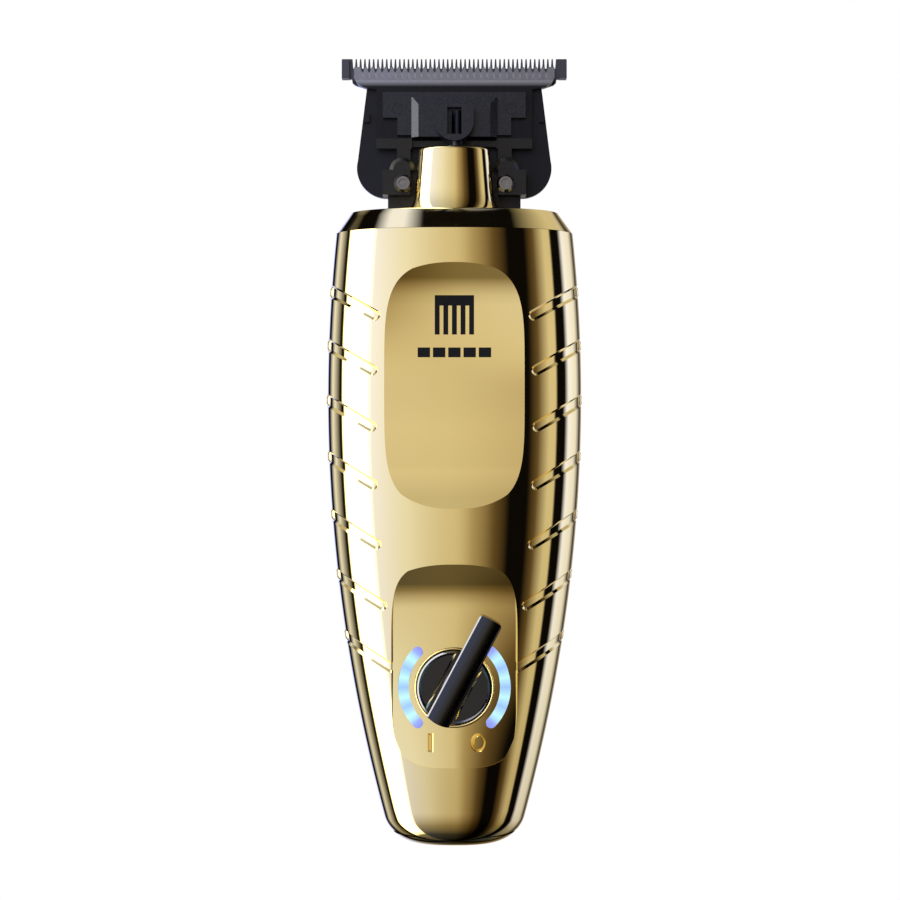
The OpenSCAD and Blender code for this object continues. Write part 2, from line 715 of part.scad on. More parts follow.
module battery_tabs() {
    color(steel) {
        block([-2.2, cell_y - 4, cell_z1 + 0.05], [2.2, cell_y + 4, cell_z1 + 0.3]);
        block([-2.2, cell_y - 4, cell_z0 - 0.28], [2.2, cell_y + 4, cell_z0 - 0.05]);
    }
}
module battery_straps() {
    color(black) for (z = [cell_z0 + 9, cell_z1 - 13]) translate([0, cell_y, z])
        intersection() {
            difference() {
                cylinder(r = cell_r + 0.9, h = 4);
                translate([0, 0, -1]) cylinder(r = cell_r + 0.05, h = 6);
            }
            block([-far, 5 + slip - cell_y, -1], [far, far, 6]);
        }
}
module battery_leads() {
    color("firebrick") wire([[0, cell_y, cell_z0 - 0.3], [0, cell_y, lead_z],
                             [0, -board_y + 0.03, lead_z]], lead_r);
}
module charge_leads() {
    z = socket_deep + 1.42;
    up = board_z0 - 2.1;
    color("firebrick") for (x = [-1, 1])
        wire([[x, socket_y, z], [x, socket_y, up], [x, -board_y - 0.6, up],
              [x, -board_y - 0.6, board_z0 - 0.02]], 0.5);
}
module motor_leads() {
    color("firebrick") for (x = [-1, 1]) translate([x * motor_lead_x, -motor_lead_y, 0])
        translate([0, 0, board_z1 - 6]) cylinder(r = lead_r, h = motor_z0 - board_z1 + 5.98);
}

// ---- motor ---------------------------------------------------------------------------------

shaft_r = shaft_d / 2;
shaft_z1 = motor_z1 + 11.7;
bush_r = 3;
end_t = 2.6;
can_wall = 0.8;
mount_t = 1.2;
mount_z1 = motor_z1 + slip + mount_t;
bolt_r = 0.8;
bolt_x = rail_x + 1.6;
bolt_y = -5.8;

module at_drive(z = 0) {
    translate([0, -drive_y, z]) children();
}
// The motor's outline: a circle with two flats, with d added all round.
module motor_form(d, h) {
    intersection() {
        cylinder(r = motor_d / 2 + d, h = h);
        translate([-far / 2, -motor_flat / 2 - d, 0]) cube([far, motor_flat + 2 * d, h]);
    }
}
module motor_can() {
    color(steel) at_drive(motor_z0 + end_t) difference() {
        motor_form(0, motor_len - end_t);
        translate([0, 0, -1]) motor_form(-can_wall, motor_len - end_t - can_wall);
        cylinder(r = bush_r + slip, h = far);
        for (x = [-1, 1]) translate([x * 6.4, 0, 0]) cylinder(r = 0.75, h = far);
    }
}
module motor_end_cap() {
    color(black) at_drive(motor_z0) difference() {
        union() {
            motor_form(0, end_t - slip);
            cylinder(r = bush_r + 1.4, h = end_t + 1.6);
        }
        translate([0, 0, 0.6]) cylinder(r = shaft_r + run_gap, h = far);
    }
}
module motor_magnets() {
    h = motor_len - end_t - 9;
    color(black) at_drive(motor_z0 + end_t + 4) intersection() {
        difference() {
            motor_form(-can_wall - 0.02, h);
            translate([0, 0, -1]) cylinder(r = 6.4, h = h + 2);
        }
        union() for (x = [0, 1]) mirror([x, 0, 0]) block([2.5, -4.6, -1], [far, 4.6, h + 1]);
    }
}
module motor_armature() {
    color("peru") at_drive(motor_z0 + end_t + 3.4) difference() {
        cylinder(r = 5.8, h = motor_len - end_t - 7.6);
        translate([0, 0, -1]) cylinder(r = shaft_r + 0.01, h = far);
        for (a = [0:72:359]) rotate([0, 0, a]) block([4.2, -0.45, -1], [7, 0.45, far]);
    }
}
module motor_bush() {
    color("darkgoldenrod") at_drive(motor_z1 - 2) difference() {
        cylinder(r = bush_r, h = 4);
        translate([0, 0, -1]) cylinder(r = shaft_r + run_gap, h = far);
    }
}
module motor_shaft() {
    color(steel) at_drive(motor_z0 + 0.7) cylinder(r = shaft_r, h = shaft_z1 - motor_z0 - 0.7);
}
module motor_mount() {
    color(steel) difference() {
        block([-rail_x - rail_w, -drive_y - motor_flat / 2 + 1, motor_z1 + slip],
              [rail_x + rail_w, rail_y1, mount_z1]);
        at_drive() cylinder(r = bush_r + 0.4, h = 3 * far);
        for (x = [-1, 1]) {
            translate([x * 6.4, -drive_y, 0]) cylinder(r = 0.85, h = 3 * far);
            translate([x * bolt_x, bolt_y, 0]) cylinder(r = bolt_r + 0.1, h = 3 * far);
        }
    }
}
// A screw that points down, with its head's underside at z nought.
module cap_screw(r, head_r, head_h, len) {
    difference() {
        union() {
            translate([0, 0, -len]) cylinder(r = r, h = len + eps);
            cylinder(r = head_r, h = head_h);
        }
        translate([0, 0, head_h * 0.45]) cylinder(r = head_r * 0.45, h = head_h, $fn = 6);
    }
}
module motor_screws() {
    color(steel) for (x = [-1, 1]) translate([x * 6.4, -drive_y, mount_z1 + slip])
        cap_screw(0.72, 1.5, 1, mount_t + can_wall + 0.4);
}
// A rubber strap round the motor's back and sides, open towards the thumb rest.
module motor_damper() {
    color(black) at_drive(motor_z0 + 7) difference() {
        motor_form(0.9, 7);
        translate([0, 0, -1]) motor_form(0.04, 9);
        block([-far, -far, -1], [far, -motor_flat / 2 + 2, 9]);
    }
}

// ---- head bridge, blades and drive ---------------------------------------------------------

bridge_z1 = cap_z1 + 3.3;
bridge_w = mouth_w - 0.2;
bridge_back = mouth_back - 0.1;
bridge_y0 = -neck_y + 0.1;
foot_z1 = mount_z1 + slip + 2;
comb_t = 1.4;
comb_y = 0.9;         // front face of the comb blade, behind the parting plane
comb_z0 = bridge_z1 + slip;
comb_z1 = comb_z0 + 27.9;
tongue_y = comb_y + comb_t + slip;
bracket_z1 = bridge_z1 + 5;
screw_x = screw_gap / 2;
screw_z = bridge_z1 + 2.2;
blade_bolt_r = 1;
cutter_t = 1.5;
cutter_y1 = comb_y - slip;
cutter_y0 = cutter_y1 - cutter_t;
cutter_z0 = comb_z0 + 11.6;
cutter_z1 = comb_z1 - 1.65;
yoke_y1 = cutter_y0 - 0.03;
yoke_y0 = yoke_y1 - 1.6;
nose_r = 2.4;
pin_r = 1.15;
pin_z1 = cutter_z0 + 5;
slot_half = pin_r + 2 * throw + 0.05;
nose_z1 = cutter_z0 - 2.05;
rivet_x = 11.3;
rivet_z = cutter_z0 + 5.8;

module head_bridge() {
    hub = motor_z1 + 2;
    color(black) difference() {
        union() {
            block([-bridge_w, bridge_y0, cap_z0 + 0.4], [bridge_w, bridge_back, bridge_z1]);
            block([-bridge_w, tongue_y, cap_z0 + 0.4], [bridge_w, bridge_back, bracket_z1]);
            for (dir = [0, 1]) mirror([dir, 0, 0]) {
                block([rail_x - 1.2, rail_y0, mount_z1 + slip],
                      [rail_x + rail_w, rail_y1, foot_z1]);
                block([rail_x - 1.2, bridge_y0, mount_z1 + slip], [bridge_w, rail_y1, cap_z0 + 1]);
            }
        }
        at_drive() cylinder(r = 5.2, h = 4 * far);
        for (x = [-1, 1]) {
            translate([x * bolt_x, bolt_y, 0]) cylinder(r = bolt_r + 0.1, h = 3 * far);
            translate([x * screw_x, far / 2, screw_z]) rotate([90, 0, 0])
                cylinder(r = blade_bolt_r - 0.1, h = far);
        }
    }
}
module bridge_screws() {
    color(steel) for (x = [-1, 1]) translate([x * bolt_x, bolt_y, foot_z1 + slip])
        cap_screw(bolt_r - slip, 1.5, 1.2, foot_z1 - motor_z1 + 6);
}
module blade_bracket() {
    side = 8.7;
    half = 14.2;
    color(black) difference() {
        union() {
            block([-half, -1, bridge_z1 + slip], [half, comb_y - slip, bracket_z1]);
            for (dir = [0, 1]) mirror([dir, 0, 0])
                block([side, -5, bridge_z1 + slip], [half, comb_y - slip, bracket_z1]);
        }
        for (x = [-1, 1]) translate([x * screw_x, far / 2, screw_z]) rotate([90, 0, 0])
            cylinder(r = blade_bolt_r + 0.1, h = far);
    }
}
module blade_screws() {
    color(steel) for (x = [-1, 1]) translate([x * screw_x, -5 - slip, screw_z])
        rotate([90, 0, 0]) difference() {
            union() {
                translate([0, 0, -9.5]) cylinder(r = blade_bolt_r - 0.12, h = 9.6);
                cylinder(r = 1.8, h = 0.5);
                translate([0, 0, 0.5 - eps]) cylinder(r1 = 1.8, r2 = 1.3, h = 0.9);
            }
            translate([0, 0, 0.8]) cylinder(r = 0.95, h = 1, $fn = 6);
        }
}

// Slots between teeth, cut down from z1 by deep over a row as wide as w. A slot is foot wide at
// its foot and mouth wide at the tips, so that the teeth come to a point.
module tooth_gaps(w, pitch, foot, mouth, z1, deep) {
    n = floor((w - mouth) / pitch / 2);
    for (i = [-n:n]) translate([i * pitch, 0, 0]) along_y(-far, far)
        polygon([[-foot / 2, z1 - deep], [foot / 2, z1 - deep], [mouth / 2, z1 + eps],
                 [mouth / 2, z1 + 1], [-mouth / 2, z1 + 1], [-mouth / 2, z1 + eps]]);
}
module comb_blade() {
    guard = 1.5;
    bar_z = comb_z1 - 6.4;
    plate = comb_w / 2 - 5;
    r = 6;
    lug_x = plate - 0.55;
    lug_z = bar_z - 6.4;
    color(steel) difference() {
        union() {
            intersection() {
                translate([0, comb_y + comb_t, 0]) rotate([90, 0, 0]) linear_extrude(comb_t)
                    union() {
                        polygon([[-plate, comb_z0 + r + 2], [-plate - 2, comb_z0 + r],
                                 [-plate - 2 + r, comb_z0], [plate + 2 - r, comb_z0],
                                 [plate + 2, comb_z0 + r], [plate, bar_z + 0.5], [plate + 1.8, bar_z + 1.05],
                                 [plate + 2.4, bar_z + 1.25], [plate + 2.9, bar_z + 1.7],
                                 [plate + 3, bar_z + 2.4], [comb_w / 2, bar_z + 2.4],
                                 [comb_w / 2, comb_z1], [-comb_w / 2, comb_z1],
                                 [-comb_w / 2, bar_z + 2.4], [-plate - 3, bar_z + 2.4],
                                 [-plate - 2.9, bar_z + 1.7], [-plate - 2.4, bar_z + 1.25],
                                 [-plate - 1.8, bar_z + 1.05], [-plate, bar_z + 0.5],
                                 [-plate - 2, comb_z0 + r]]);
                        for (x = [-1, 1]) translate([x * (plate + 2 - r), comb_z0 + r]) circle(r = r);
                    }
                along_x(2 * comb_w) polygon([[comb_y, comb_z0 - 1], [comb_y + comb_t, comb_z0 - 1],
                                         [comb_y + comb_t, bar_z], [comb_y + 0.5, comb_z1],
                                         [comb_y, comb_z1]]);
            }
            for (dir = [0, 1]) mirror([dir, 0, 0]) {
                block([comb_w / 2 - guard, comb_y - 1, comb_z1 - 4],
                      [comb_w / 2, comb_y + comb_t, comb_z1 - 0.3]);
                block([lug_x, comb_y - 1, lug_z], [lug_x + 1.1, comb_y + eps, lug_z + 1.6]);
            }
        }
        tooth_gaps(comb_w - 2 * guard, comb_pitch, comb_pitch * 0.38, comb_pitch * 0.72, comb_z1,
                   comb_slot);
        for (x = [-1, 1]) translate([x * screw_x, far / 2, screw_z]) rotate([90, 0, 0])
            cylinder(r = blade_bolt_r + 0.1, h = far);
    }
}
comb_slot = 1.9;      // depth of the slots between the comb's teeth
cutter_slot = 1.15;
module cutter_blade() {
    w = comb_w / 2 - 1.7 - throw - 0.1;
    plate = w - 4.5;
    root = cutter_z1 - cutter_slot;
    color(steel) difference() {
        translate([0, cutter_y1, 0]) rotate([90, 0, 0]) linear_extrude(cutter_t)
            polygon([[-plate, cutter_z0], [plate, cutter_z0], [plate, cutter_z1 - 4.7],
                     [w - 1.9, cutter_z1 - 4.3], [w - 0.6, cutter_z1 - 3.5], [w, cutter_z1 - 2.3],
                     [w, cutter_z1], [-w, cutter_z1], [-w, cutter_z1 - 2.3],
                     [-w + 0.6, cutter_z1 - 3.5], [-w + 1.9, cutter_z1 - 4.3],
                     [-plate, cutter_z1 - 4.7]]);
        tooth_gaps(2 * w - 1, cutter_pitch, cutter_pitch * 0.2, cutter_pitch * 0.72, cutter_z1,
                   cutter_slot);
        // the slope that thins the teeth towards their tips
        along_x(2 * comb_w) polygon([[cutter_y0 - 1, root - 1.7], [cutter_y0, root - 1.7],
                                 [cutter_y1 - 0.4, cutter_z1], [cutter_y1 - 0.4, cutter_z1 + 1],
                                 [cutter_y0 - 1, cutter_z1 + 1]]);
        // the ground grooves that run out below the teeth
        intersection() {
            tooth_gaps(2 * w - 1, cutter_pitch, cutter_pitch * 0.34, cutter_pitch * 0.34, root, 1.3);
            block([-w, -far, root - 2], [w, cutter_y0 + 0.55, root + 1]);
        }
        for (x = [-1, 1]) translate([x * rivet_x, far / 2, rivet_z]) rotate([90, 0, 0])
            cylinder(r = 1 + slip, h = far);
    }
}
module drive_yoke() {
    top = cutter_z1 - 5.5;
    step_z = top - 5.1;           // where the carrier steps in
    lobe_y = -drive_y - pin_r - throw - 1.4;
    lobe_z = cutter_z0 - 1.3;
    lobe_w = 3.8;
    block_y = yoke_y0 - 2;
    block_z1 = top - 1.2;
    pocket_y = pin_r + throw + 0.15;
    color(black) difference() {
        union() {
            along_y(yoke_y0, yoke_y1) union() {
                translate([-14.2, step_z]) square([28.4, top - step_z]);
                translate([-11.3, cutter_z0 + 0.6]) square([22.6, top - cutter_z0 - 0.6]);
            }
            intersection() {
                along_x(17) polygon([[block_y, cutter_z0], [block_y, block_z1 - 1.6],
                                     [yoke_y0 - 1, block_z1], [yoke_y1, block_z1],
                                     [yoke_y1, cutter_z0]]);
                translate([0, 0, cutter_z0]) linear_extrude(block_z1 - cutter_z0)
                    polygon([[-8.5, yoke_y1], [-8.5, yoke_y0 - 0.8], [-7.1, block_y], [7.1, block_y],
                             [8.5, yoke_y0 - 0.8], [8.5, yoke_y1]]);
            }
            along_y(lobe_y, yoke_y0 + eps) translate([0, lobe_z + lobe_w]) union() {
                circle(r = lobe_w);
                translate([-lobe_w, 0]) square([2 * lobe_w, 3]);
            }
        }
        block([-slot_half, -drive_y - pocket_y, 0], [slot_half, -drive_y + pocket_y, pin_z1 + 0.8]);
        block([-1.4, -far, cutter_z0], [1.4, -drive_y, pin_z1 + 1.8]);
        for (x = [-1, 1]) translate([x * rivet_x, far / 2, rivet_z]) rotate([90, 0, 0])
            cylinder(r = 1 + slip, h = far);
    }
}
// The rivets end just inside the carrier's face.
module yoke_rivets() {
    color(steel) for (x = [-1, 1]) translate([x * rivet_x, cutter_y1 - 0.1, rivet_z])
        rotate([90, 0, 0]) cylinder(r = 1, h = cutter_y1 - 0.1 - yoke_y0 - 0.05);
}
module tension_spring() {
    z1 = cutter_z0 - 0.1;
    color(black) {
        block([-8.4, -1.7, z1 - 1.6], [8.4, -0.95, z1 - 0.4]);
        for (dir = [0, 1]) mirror([dir, 0, 0]) {
            block([8.4 - eps, -2.4, z1 - 2], [15.5, -0.95, z1]);
            block([8.7, -2.4, bracket_z1 + 0.02], [11.4, -1.2, z1 - 2 + eps]);
        }
    }
}
module spring_hooks() {
    color(black) for (dir = [0, 1]) mirror([dir, 0, 0])
        translate([10.3, -2.9, bracket_z1 + 0.02]) intersection() {
            rotate([90, 0, 0]) union() {
                cylinder(r = 2.55, h = 1);
                translate([0, 0, 1 - eps]) cylinder(r1 = 2.55, r2 = 1.8, h = 0.8);
            }
            block([-far, -far, 0], [far, far, far]);
        }
}
// The hub with its off-centre nose and pin, which drives the yoke.
module eccentric_cam() {
    hub_z0 = motor_z1 + 4.6;
    hub_z1 = motor_z1 + 11;
    color(steel) difference() {
        union() {
            at_drive(hub_z0) cylinder(r = 3.2, h = hub_z1 - hub_z0);
            translate([throw, -drive_y, hub_z1 - eps]) cylinder(r = nose_r, h = nose_z1 - hub_z1);
            translate([throw, -drive_y, nose_z1 - 2 * eps]) cylinder(r = pin_r, h = pin_z1 - nose_z1);
        }
        at_drive(hub_z0 - 1) cylinder(r = shaft_r + 0.01, h = shaft_z1 - hub_z0 + 1.02);
    }
}
module light_guide_left() { light_guide(-1); }
module light_guide_right() { light_guide(1); }
module grip_pads_left() { grip_pads(-1); }
module grip_pads_right() { grip_pads(1); }

front_housing();
back_housing();
head_cap();
neck_shroud();
neck_seal();
base_plate();
grip_pads_left();
grip_pads_right();
housing_screws();
chassis();
battery_cell();
battery_tabs();
battery_straps();
circuit_board();
board_parts();
board_screws();
status_leds();
light_guide_left();
light_guide_right();
switch_bezel();
switch_body();
switch_knob();
knob_stem();
stem_clip();
charge_socket();
charge_leads();
dock_contacts();
motor_can();
motor_end_cap();
motor_magnets();
motor_bush();
motor_mount();
motor_screws();
motor_damper();
motor_leads();
battery_leads();
motor_shaft();
motor_armature();
eccentric_cam();
head_bridge();
bridge_screws();
blade_bracket();
blade_screws();
comb_blade();
cutter_blade();
drive_yoke();
yoke_rivets();
tension_spring();
spring_hooks();
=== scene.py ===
import math

import bpy
import bmesh
import numpy as np
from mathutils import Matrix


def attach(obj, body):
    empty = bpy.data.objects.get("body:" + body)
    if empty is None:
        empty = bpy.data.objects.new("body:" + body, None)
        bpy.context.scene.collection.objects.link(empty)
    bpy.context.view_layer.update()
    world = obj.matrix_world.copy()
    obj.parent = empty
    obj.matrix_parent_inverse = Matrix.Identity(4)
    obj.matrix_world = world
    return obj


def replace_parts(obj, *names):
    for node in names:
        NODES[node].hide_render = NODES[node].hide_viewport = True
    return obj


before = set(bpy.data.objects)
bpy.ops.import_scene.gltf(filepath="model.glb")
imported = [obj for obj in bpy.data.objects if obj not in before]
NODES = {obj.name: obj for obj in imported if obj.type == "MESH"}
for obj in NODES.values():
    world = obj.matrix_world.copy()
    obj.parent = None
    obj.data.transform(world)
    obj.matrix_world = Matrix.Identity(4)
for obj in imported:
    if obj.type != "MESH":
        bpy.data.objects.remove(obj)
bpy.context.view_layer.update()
MM = 0.001

# ---- the housing's form, in millimetres, by the CAD model's rules --------------------------
# The thumb rest is a little deeper, with a steeper upper ramp and a longer lower lip, and the neck
# and the lever are crowned more than in the CAD model.

BODY_W, BODY_H, WAIST_Z = 50.6, 120.3, 88.0
FRONT_D, BACK_D = 17.0, 16.5
BASE_W, BASE_D = 25.4, 11.6
SECTION_N = 2.5
FOOT_R, FOOT_D, FOOT_H = 4.8, 3.6, 7.0
WALL = 1.8
SEAM = 0.12                      # chamfer of the two shells where they meet
THUMB_W, THUMB_Z0, THUMB_Z1, THUMB_DEEP = 27.0, 66.2, 113.6, 2.6
THUMB_LEAN, THUMB_SWEEP, THUMB_DISH = 26.0, 5.4, 0.0064
LIP_LEAN, LIP_SWEEP = 14.0, 6.0
PANEL_W, PANEL_Z0, PANEL_Z1, PANEL_Y = 24.4, 15.9, 55.5, 13.2
PANEL_LEAN, PANEL_SWEEP, PANEL_CROWN = 26.0, 5.0, 0.023
KNOB_Z, KNOB_R, BEZEL_R = 31.5, 7.2, 7.8
LEVER_LEN, LEVER_W, LEVER_LEAN, LEVER_PROUD = 15.3, 4.7, 28.0, 5.6
LIGHT_R, LIGHT_W, LIGHT_TURN = 9.9, 2.1, 44.0
GRIP_N, GRIP_W, GRIP_LEN, GRIP_DEEP = 7, 2.6, 6.0, 0.9
GROOVE_DEEP, GROOVE_RUN, GROOVE_DROP = 0.4, 9.3, 5.4
GROOVE_HALF, GROOVE_TIP, GROOVE_WALL = 1.1, 0.8, 0.25
POSTS_AT = [(8.6, 9.5), (19.0, BODY_H - 24.5)]


def taper(z):
    return ((z - WAIST_Z) / WAIST_Z) ** 2


def round_off(z, rise):
    """Share of the foot's rounding, rise high, that is drawn in at height z."""
    return 1 - np.sqrt(1 - np.clip(1 - z / rise, 0, 1) ** 2)


def half_w(z):
    return BODY_W / 2 - (BODY_W - BASE_W) / 2 * taper(z) - FOOT_R * round_off(z, FOOT_R)


def fore(z):
    return FRONT_D - (FRONT_D - BASE_D) * taper(z) - FOOT_D * round_off(z, FOOT_H)


def aft(z):
    return BACK_D - (BACK_D - BASE_D) * taper(z) - FOOT_D * round_off(z, FOOT_H)


def signed_power(v, p):
    return np.sign(v) * np.abs(v) ** p


def front_at(x, z):
    """Depth of the housing's front at x and z, measured forward from the parting plane."""
    return fore(z) * (1 - np.clip(np.abs(x) / half_w(z), 0, 1) ** SECTION_N) ** (1 / SECTION_N)


def side_at(y, z):
    """Half-width of the housing at depth y and height z."""
    deep = np.where(y < 0, fore(z), aft(z))
    return half_w(z) * (1 - np.clip(np.abs(y) / deep, 0, 1) ** SECTION_N) ** (1 / SECTION_N)


def skin_depth(p):
    """How far points lie under the housing's skin, measured across its section."""
    x, y, z = p.T
    deep = np.where(y < 0, fore(z), aft(z))
    q = (np.abs(x) / half_w(z)) ** SECTION_N + (np.abs(y) / deep) ** SECTION_N
    return np.hypot(x, y) * (q ** (-1 / SECTION_N) - 1)


def skin_normals(p):
    """The true outward normals of the housing's skin, so that the polish runs smooth."""
    x, y, z = p.T
    z, h, n = np.maximum(z, 0.03), 0.01, SECTION_N
    deep = np.where(y < 0, fore(z), aft(z))
    deeper = (np.where(y < 0, fore(z + h), aft(z + h)) - np.where(y < 0, fore(z - h), aft(z - h)))
    wider = half_w(z + h) - half_w(z - h)
    w = half_w(z)
    out = np.stack([signed_power(x, n - 1) / w ** n, signed_power(y, n - 1) / deep ** n,
                    -(np.abs(x) ** n / w ** (n + 1) * wider + np.abs(y) ** n / deep ** (n + 1) * deeper)
                    / (2 * h)], 1)
    return out / np.linalg.norm(out, axis=1)[:, None]


def ramp(t, sweep, lean):
    """How far forward a ramp has come at t above its foot: an arc over sweep, then straight."""
    a = math.radians(lean)
    r = sweep / math.sin(a)
    arc = r - np.sqrt(r * r - np.clip(t, 0, sweep) ** 2)
    return arc + np.maximum(t - sweep, 0) * math.tan(a)


def ramp_height(deep, sweep, lean):
    a = math.radians(lean)
    return sweep + (deep - sweep * math.tan(a / 2)) / math.tan(a)


THUMB_LOW = float(front_at(THUMB_W * 0.48, THUMB_Z0 + 4))
THUMB_HIGH = float(fore(THUMB_Z1)) - THUMB_DEEP
THUMB_RAMP = THUMB_Z1 - ramp_height(THUMB_DEEP, THUMB_SWEEP, THUMB_LEAN)
THUMB_LIP = THUMB_Z0 + ramp_height(float(fore(THUMB_Z0)) - THUMB_LOW, LIP_SWEEP, LIP_LEAN)
PANEL_RAMP = PANEL_Z1 - ramp_height(float(fore(PANEL_Z1)) - PANEL_Y, PANEL_SWEEP, PANEL_LEAN)


def thumb_floor(x, z):
    mid = (THUMB_Z0 + THUMB_Z1) / 2
    s = np.clip((z - THUMB_LIP) / (THUMB_RAMP - THUMB_LIP), 0, 1)
    s = s - np.sin(2 * math.pi * s) / (2 * math.pi)
    dish = x * x / 2 * THUMB_DISH * np.maximum(0, z - mid) / (THUMB_Z1 - mid)
    return (THUMB_LOW + (THUMB_HIGH - THUMB_LOW) * s + ramp(z - THUMB_RAMP, THUMB_SWEEP, THUMB_LEAN)
            + ramp(THUMB_LIP - z, LIP_SWEEP, LIP_LEAN) + dish)


def panel_floor(x, z):
    crown = x * x / 2 * PANEL_CROWN * (PANEL_Z1 - z) / (PANEL_Z1 - PANEL_Z0)
    return PANEL_Y + ramp(z - PANEL_RAMP, PANEL_SWEEP, PANEL_LEAN) - crown


def floor_normals(depth, p):
    """Outward normals of a floor whose depth, forward of the parting plane, is a function."""
    x, z, h = p[:, 0], p[:, 2], 0.02
    out = np.stack([(depth(x - h, z) - depth(x + h, z)) / (2 * h), -np.ones(len(p)),
                    (depth(x, z - h) - depth(x, z + h)) / (2 * h)], 1)
    return out / np.linalg.norm(out, axis=1)[:, None]


# Each surface of the shells that is known exactly: the distance to it, its normals, and how far
# off it a corner may lie.
THUMB_SURFACE = (lambda p: -p[:, 1] - thumb_floor(p[:, 0], p[:, 2]),
                 lambda p: floor_normals(thumb_floor, p), 0.02)
PANEL_SURFACE = (lambda p: -p[:, 1] - panel_floor(p[:, 0], p[:, 2]),
                 lambda p: floor_normals(panel_floor, p), 0.02)
SKIN_SURFACE = (skin_depth, skin_normals, 0.03)
GROOVE_SURFACE = (lambda p: skin_depth(p) - GROOVE_DEEP, skin_normals, 0.09)


# ---- small mesh tools ----------------------------------------------------------------------

def mesh_object(name, verts, faces):
    """A closed mesh object from points in millimetres, with its faces turned outwards."""
    me = bpy.data.meshes.new(name)
    me.from_pydata([(x * MM, y * MM, z * MM) for x, y, z in verts], [], faces)
    ob = bpy.data.objects.new(name, me)
    bpy.context.scene.collection.objects.link(ob)
    bm = bmesh.new()
    bm.from_mesh(me)
    bmesh.ops.remove_doubles(bm, verts=bm.verts, dist=1e-7)
    bmesh.ops.recalc_face_normals(bm, faces=bm.faces)
    bm.to_mesh(me)
    bm.free()
    return ob


def loft(name, rings):
    """A closed solid through a stack of rings with the same number of points."""
    n = len(rings[0])
    verts = [p for r in rings for p in r]
    faces = [[j * n + i, (j + 1) * n + i, (j + 1) * n + (i + 1) % n, j * n + (i + 1) % n]
             for j in range(len(rings) - 1) for i in range(n)]
    faces.append(list(range(n)))
    faces.append([(len(rings) - 1) * n + i for i in reversed(range(n))])
    return mesh_object(name, verts, faces)


def prism(name, outline, y0, y1, flare=0.0):
    """A solid along Y from y0 to y1, outline in X and Z; flare widens it towards y0."""
    cx = sum(x for x, _ in outline) / len(outline)
    cz = sum(z for _, z in outline) / len(outline)

    def grown(x, z):
        r = max(math.hypot(x - cx, z - cz), 1e-6)
        return cx + (x - cx) * (1 + flare / r), cz + (z - cz) * (1 + flare / r)
    return loft(name, [[(grown(x, z)[0], y0, grown(x, z)[1]) for x, z in outline],
                       [(x, y1, z) for x, z in outline]])


def circle(cx, cy, r, steps=64):
    return [(cx + r * math.cos(2 * math.pi * i / steps), cy + r * math.sin(2 * math.pi * i / steps))
            for i in range(steps)]


def upright(name, x, y, r, z0, z1):
    """A round bar along Z."""
    return loft(name, [[(u, v, z) for u, v in circle(x, y, r)] for z in (z0, z1)])


def cut(ob, others, mode="DIFFERENCE"):
    """Cuts the other solids out of ob, or joins them to it, and throws them away."""
    for other in others:
        m = ob.modifiers.new("cut", "BOOLEAN")
        m.operation, m.solver, m.object = mode, "MANIFOLD", other
        deps = bpy.context.evaluated_depsgraph_get()
        made = bpy.data.meshes.new_from_object(ob.evaluated_get(deps))
        ob.modifiers.remove(m)
        old, ob.data = ob.data, made
        bpy.data.meshes.remove(old)
        bpy.data.objects.remove(other)
    return ob


def read_all(items, prop, width, kind=np.float64):
    values = np.empty(len(items) * width, kind)
    items.foreach_get(prop, values)
    return values.reshape(-1, width) if width > 1 else values


def shade(ob, surfaces=(), sharp=32.0, within=15.0):
    """Smooth shading up to the sharp angle. A face whose corners all lie on a known surface gets
    that surface's own normals, so that no facet shows in the mirror finish."""
    me = ob.data
    me.shade_smooth()
    me.set_sharp_from_angle(angle=math.radians(sharp))
    if not surfaces:
        return ob
    corner = read_all(me.loops, "vertex_index", 1, np.int32)
    co = read_all(me.vertices, "co", 3) / MM
    starts = read_all(me.polygons, "loop_start", 1, np.int32)
    flat = read_all(me.polygons, "normal", 3)
    normals = read_all(me.corner_normals, "vector", 3)
    face = np.repeat(np.arange(len(starts)), np.diff(np.append(starts, len(corner))))
    free = np.ones(len(starts), bool)
    for distance, true_normals, slack in surfaces:
        truth = true_normals(co[corner])
        good = (np.abs(distance(co)) < slack)[corner]
        good &= (truth * flat[face]).sum(1) > math.cos(math.radians(within))
        whole = np.logical_and.reduceat(good, starts) & free
        normals[whole[face]] = truth[whole[face]]
        free &= ~whole
    me.normals_split_custom_set(normals.tolist())
    return ob


def soften(ob, width, segments=2, angle=35.0):
    """Breaks the sharp edges, as tumbling or moulding does."""
    m = ob.modifiers.new("broken_edges", "BEVEL")
    m.width, m.segments, m.limit_method = width * MM, segments, "ANGLE"
    m.angle_limit = math.radians(angle)
    m.use_clamp_overlap = True
    return ob


# ---- outlines and tools of the housing -----------------------------------------------------

def arched_outline(w, h, p, q, mid, steps=240):
    """A closed outline with flat-arched sides, in X and Z."""
    turns = [2 * math.pi * i / steps for i in range(steps)]
    return [(w * float(signed_power(math.cos(t), 2 / p)),
             mid + h * float(signed_power(math.sin(t), 2 / q))) for t in turns]


def in_front(name, half, heights, depth, across=44):
    """Everything in front of a floor: the tool that leaves the floor standing."""
    xs = [half - 2 * half * i / across for i in range(across + 1)]
    return loft(name, [[(-half, -60, z), (half, -60, z)]
                       + [(x, -float(depth(x, z)), z) for x in xs] for z in heights])


def spread(a, b, n):
    return [a + (b - a) * i / n for i in range(n + 1)]


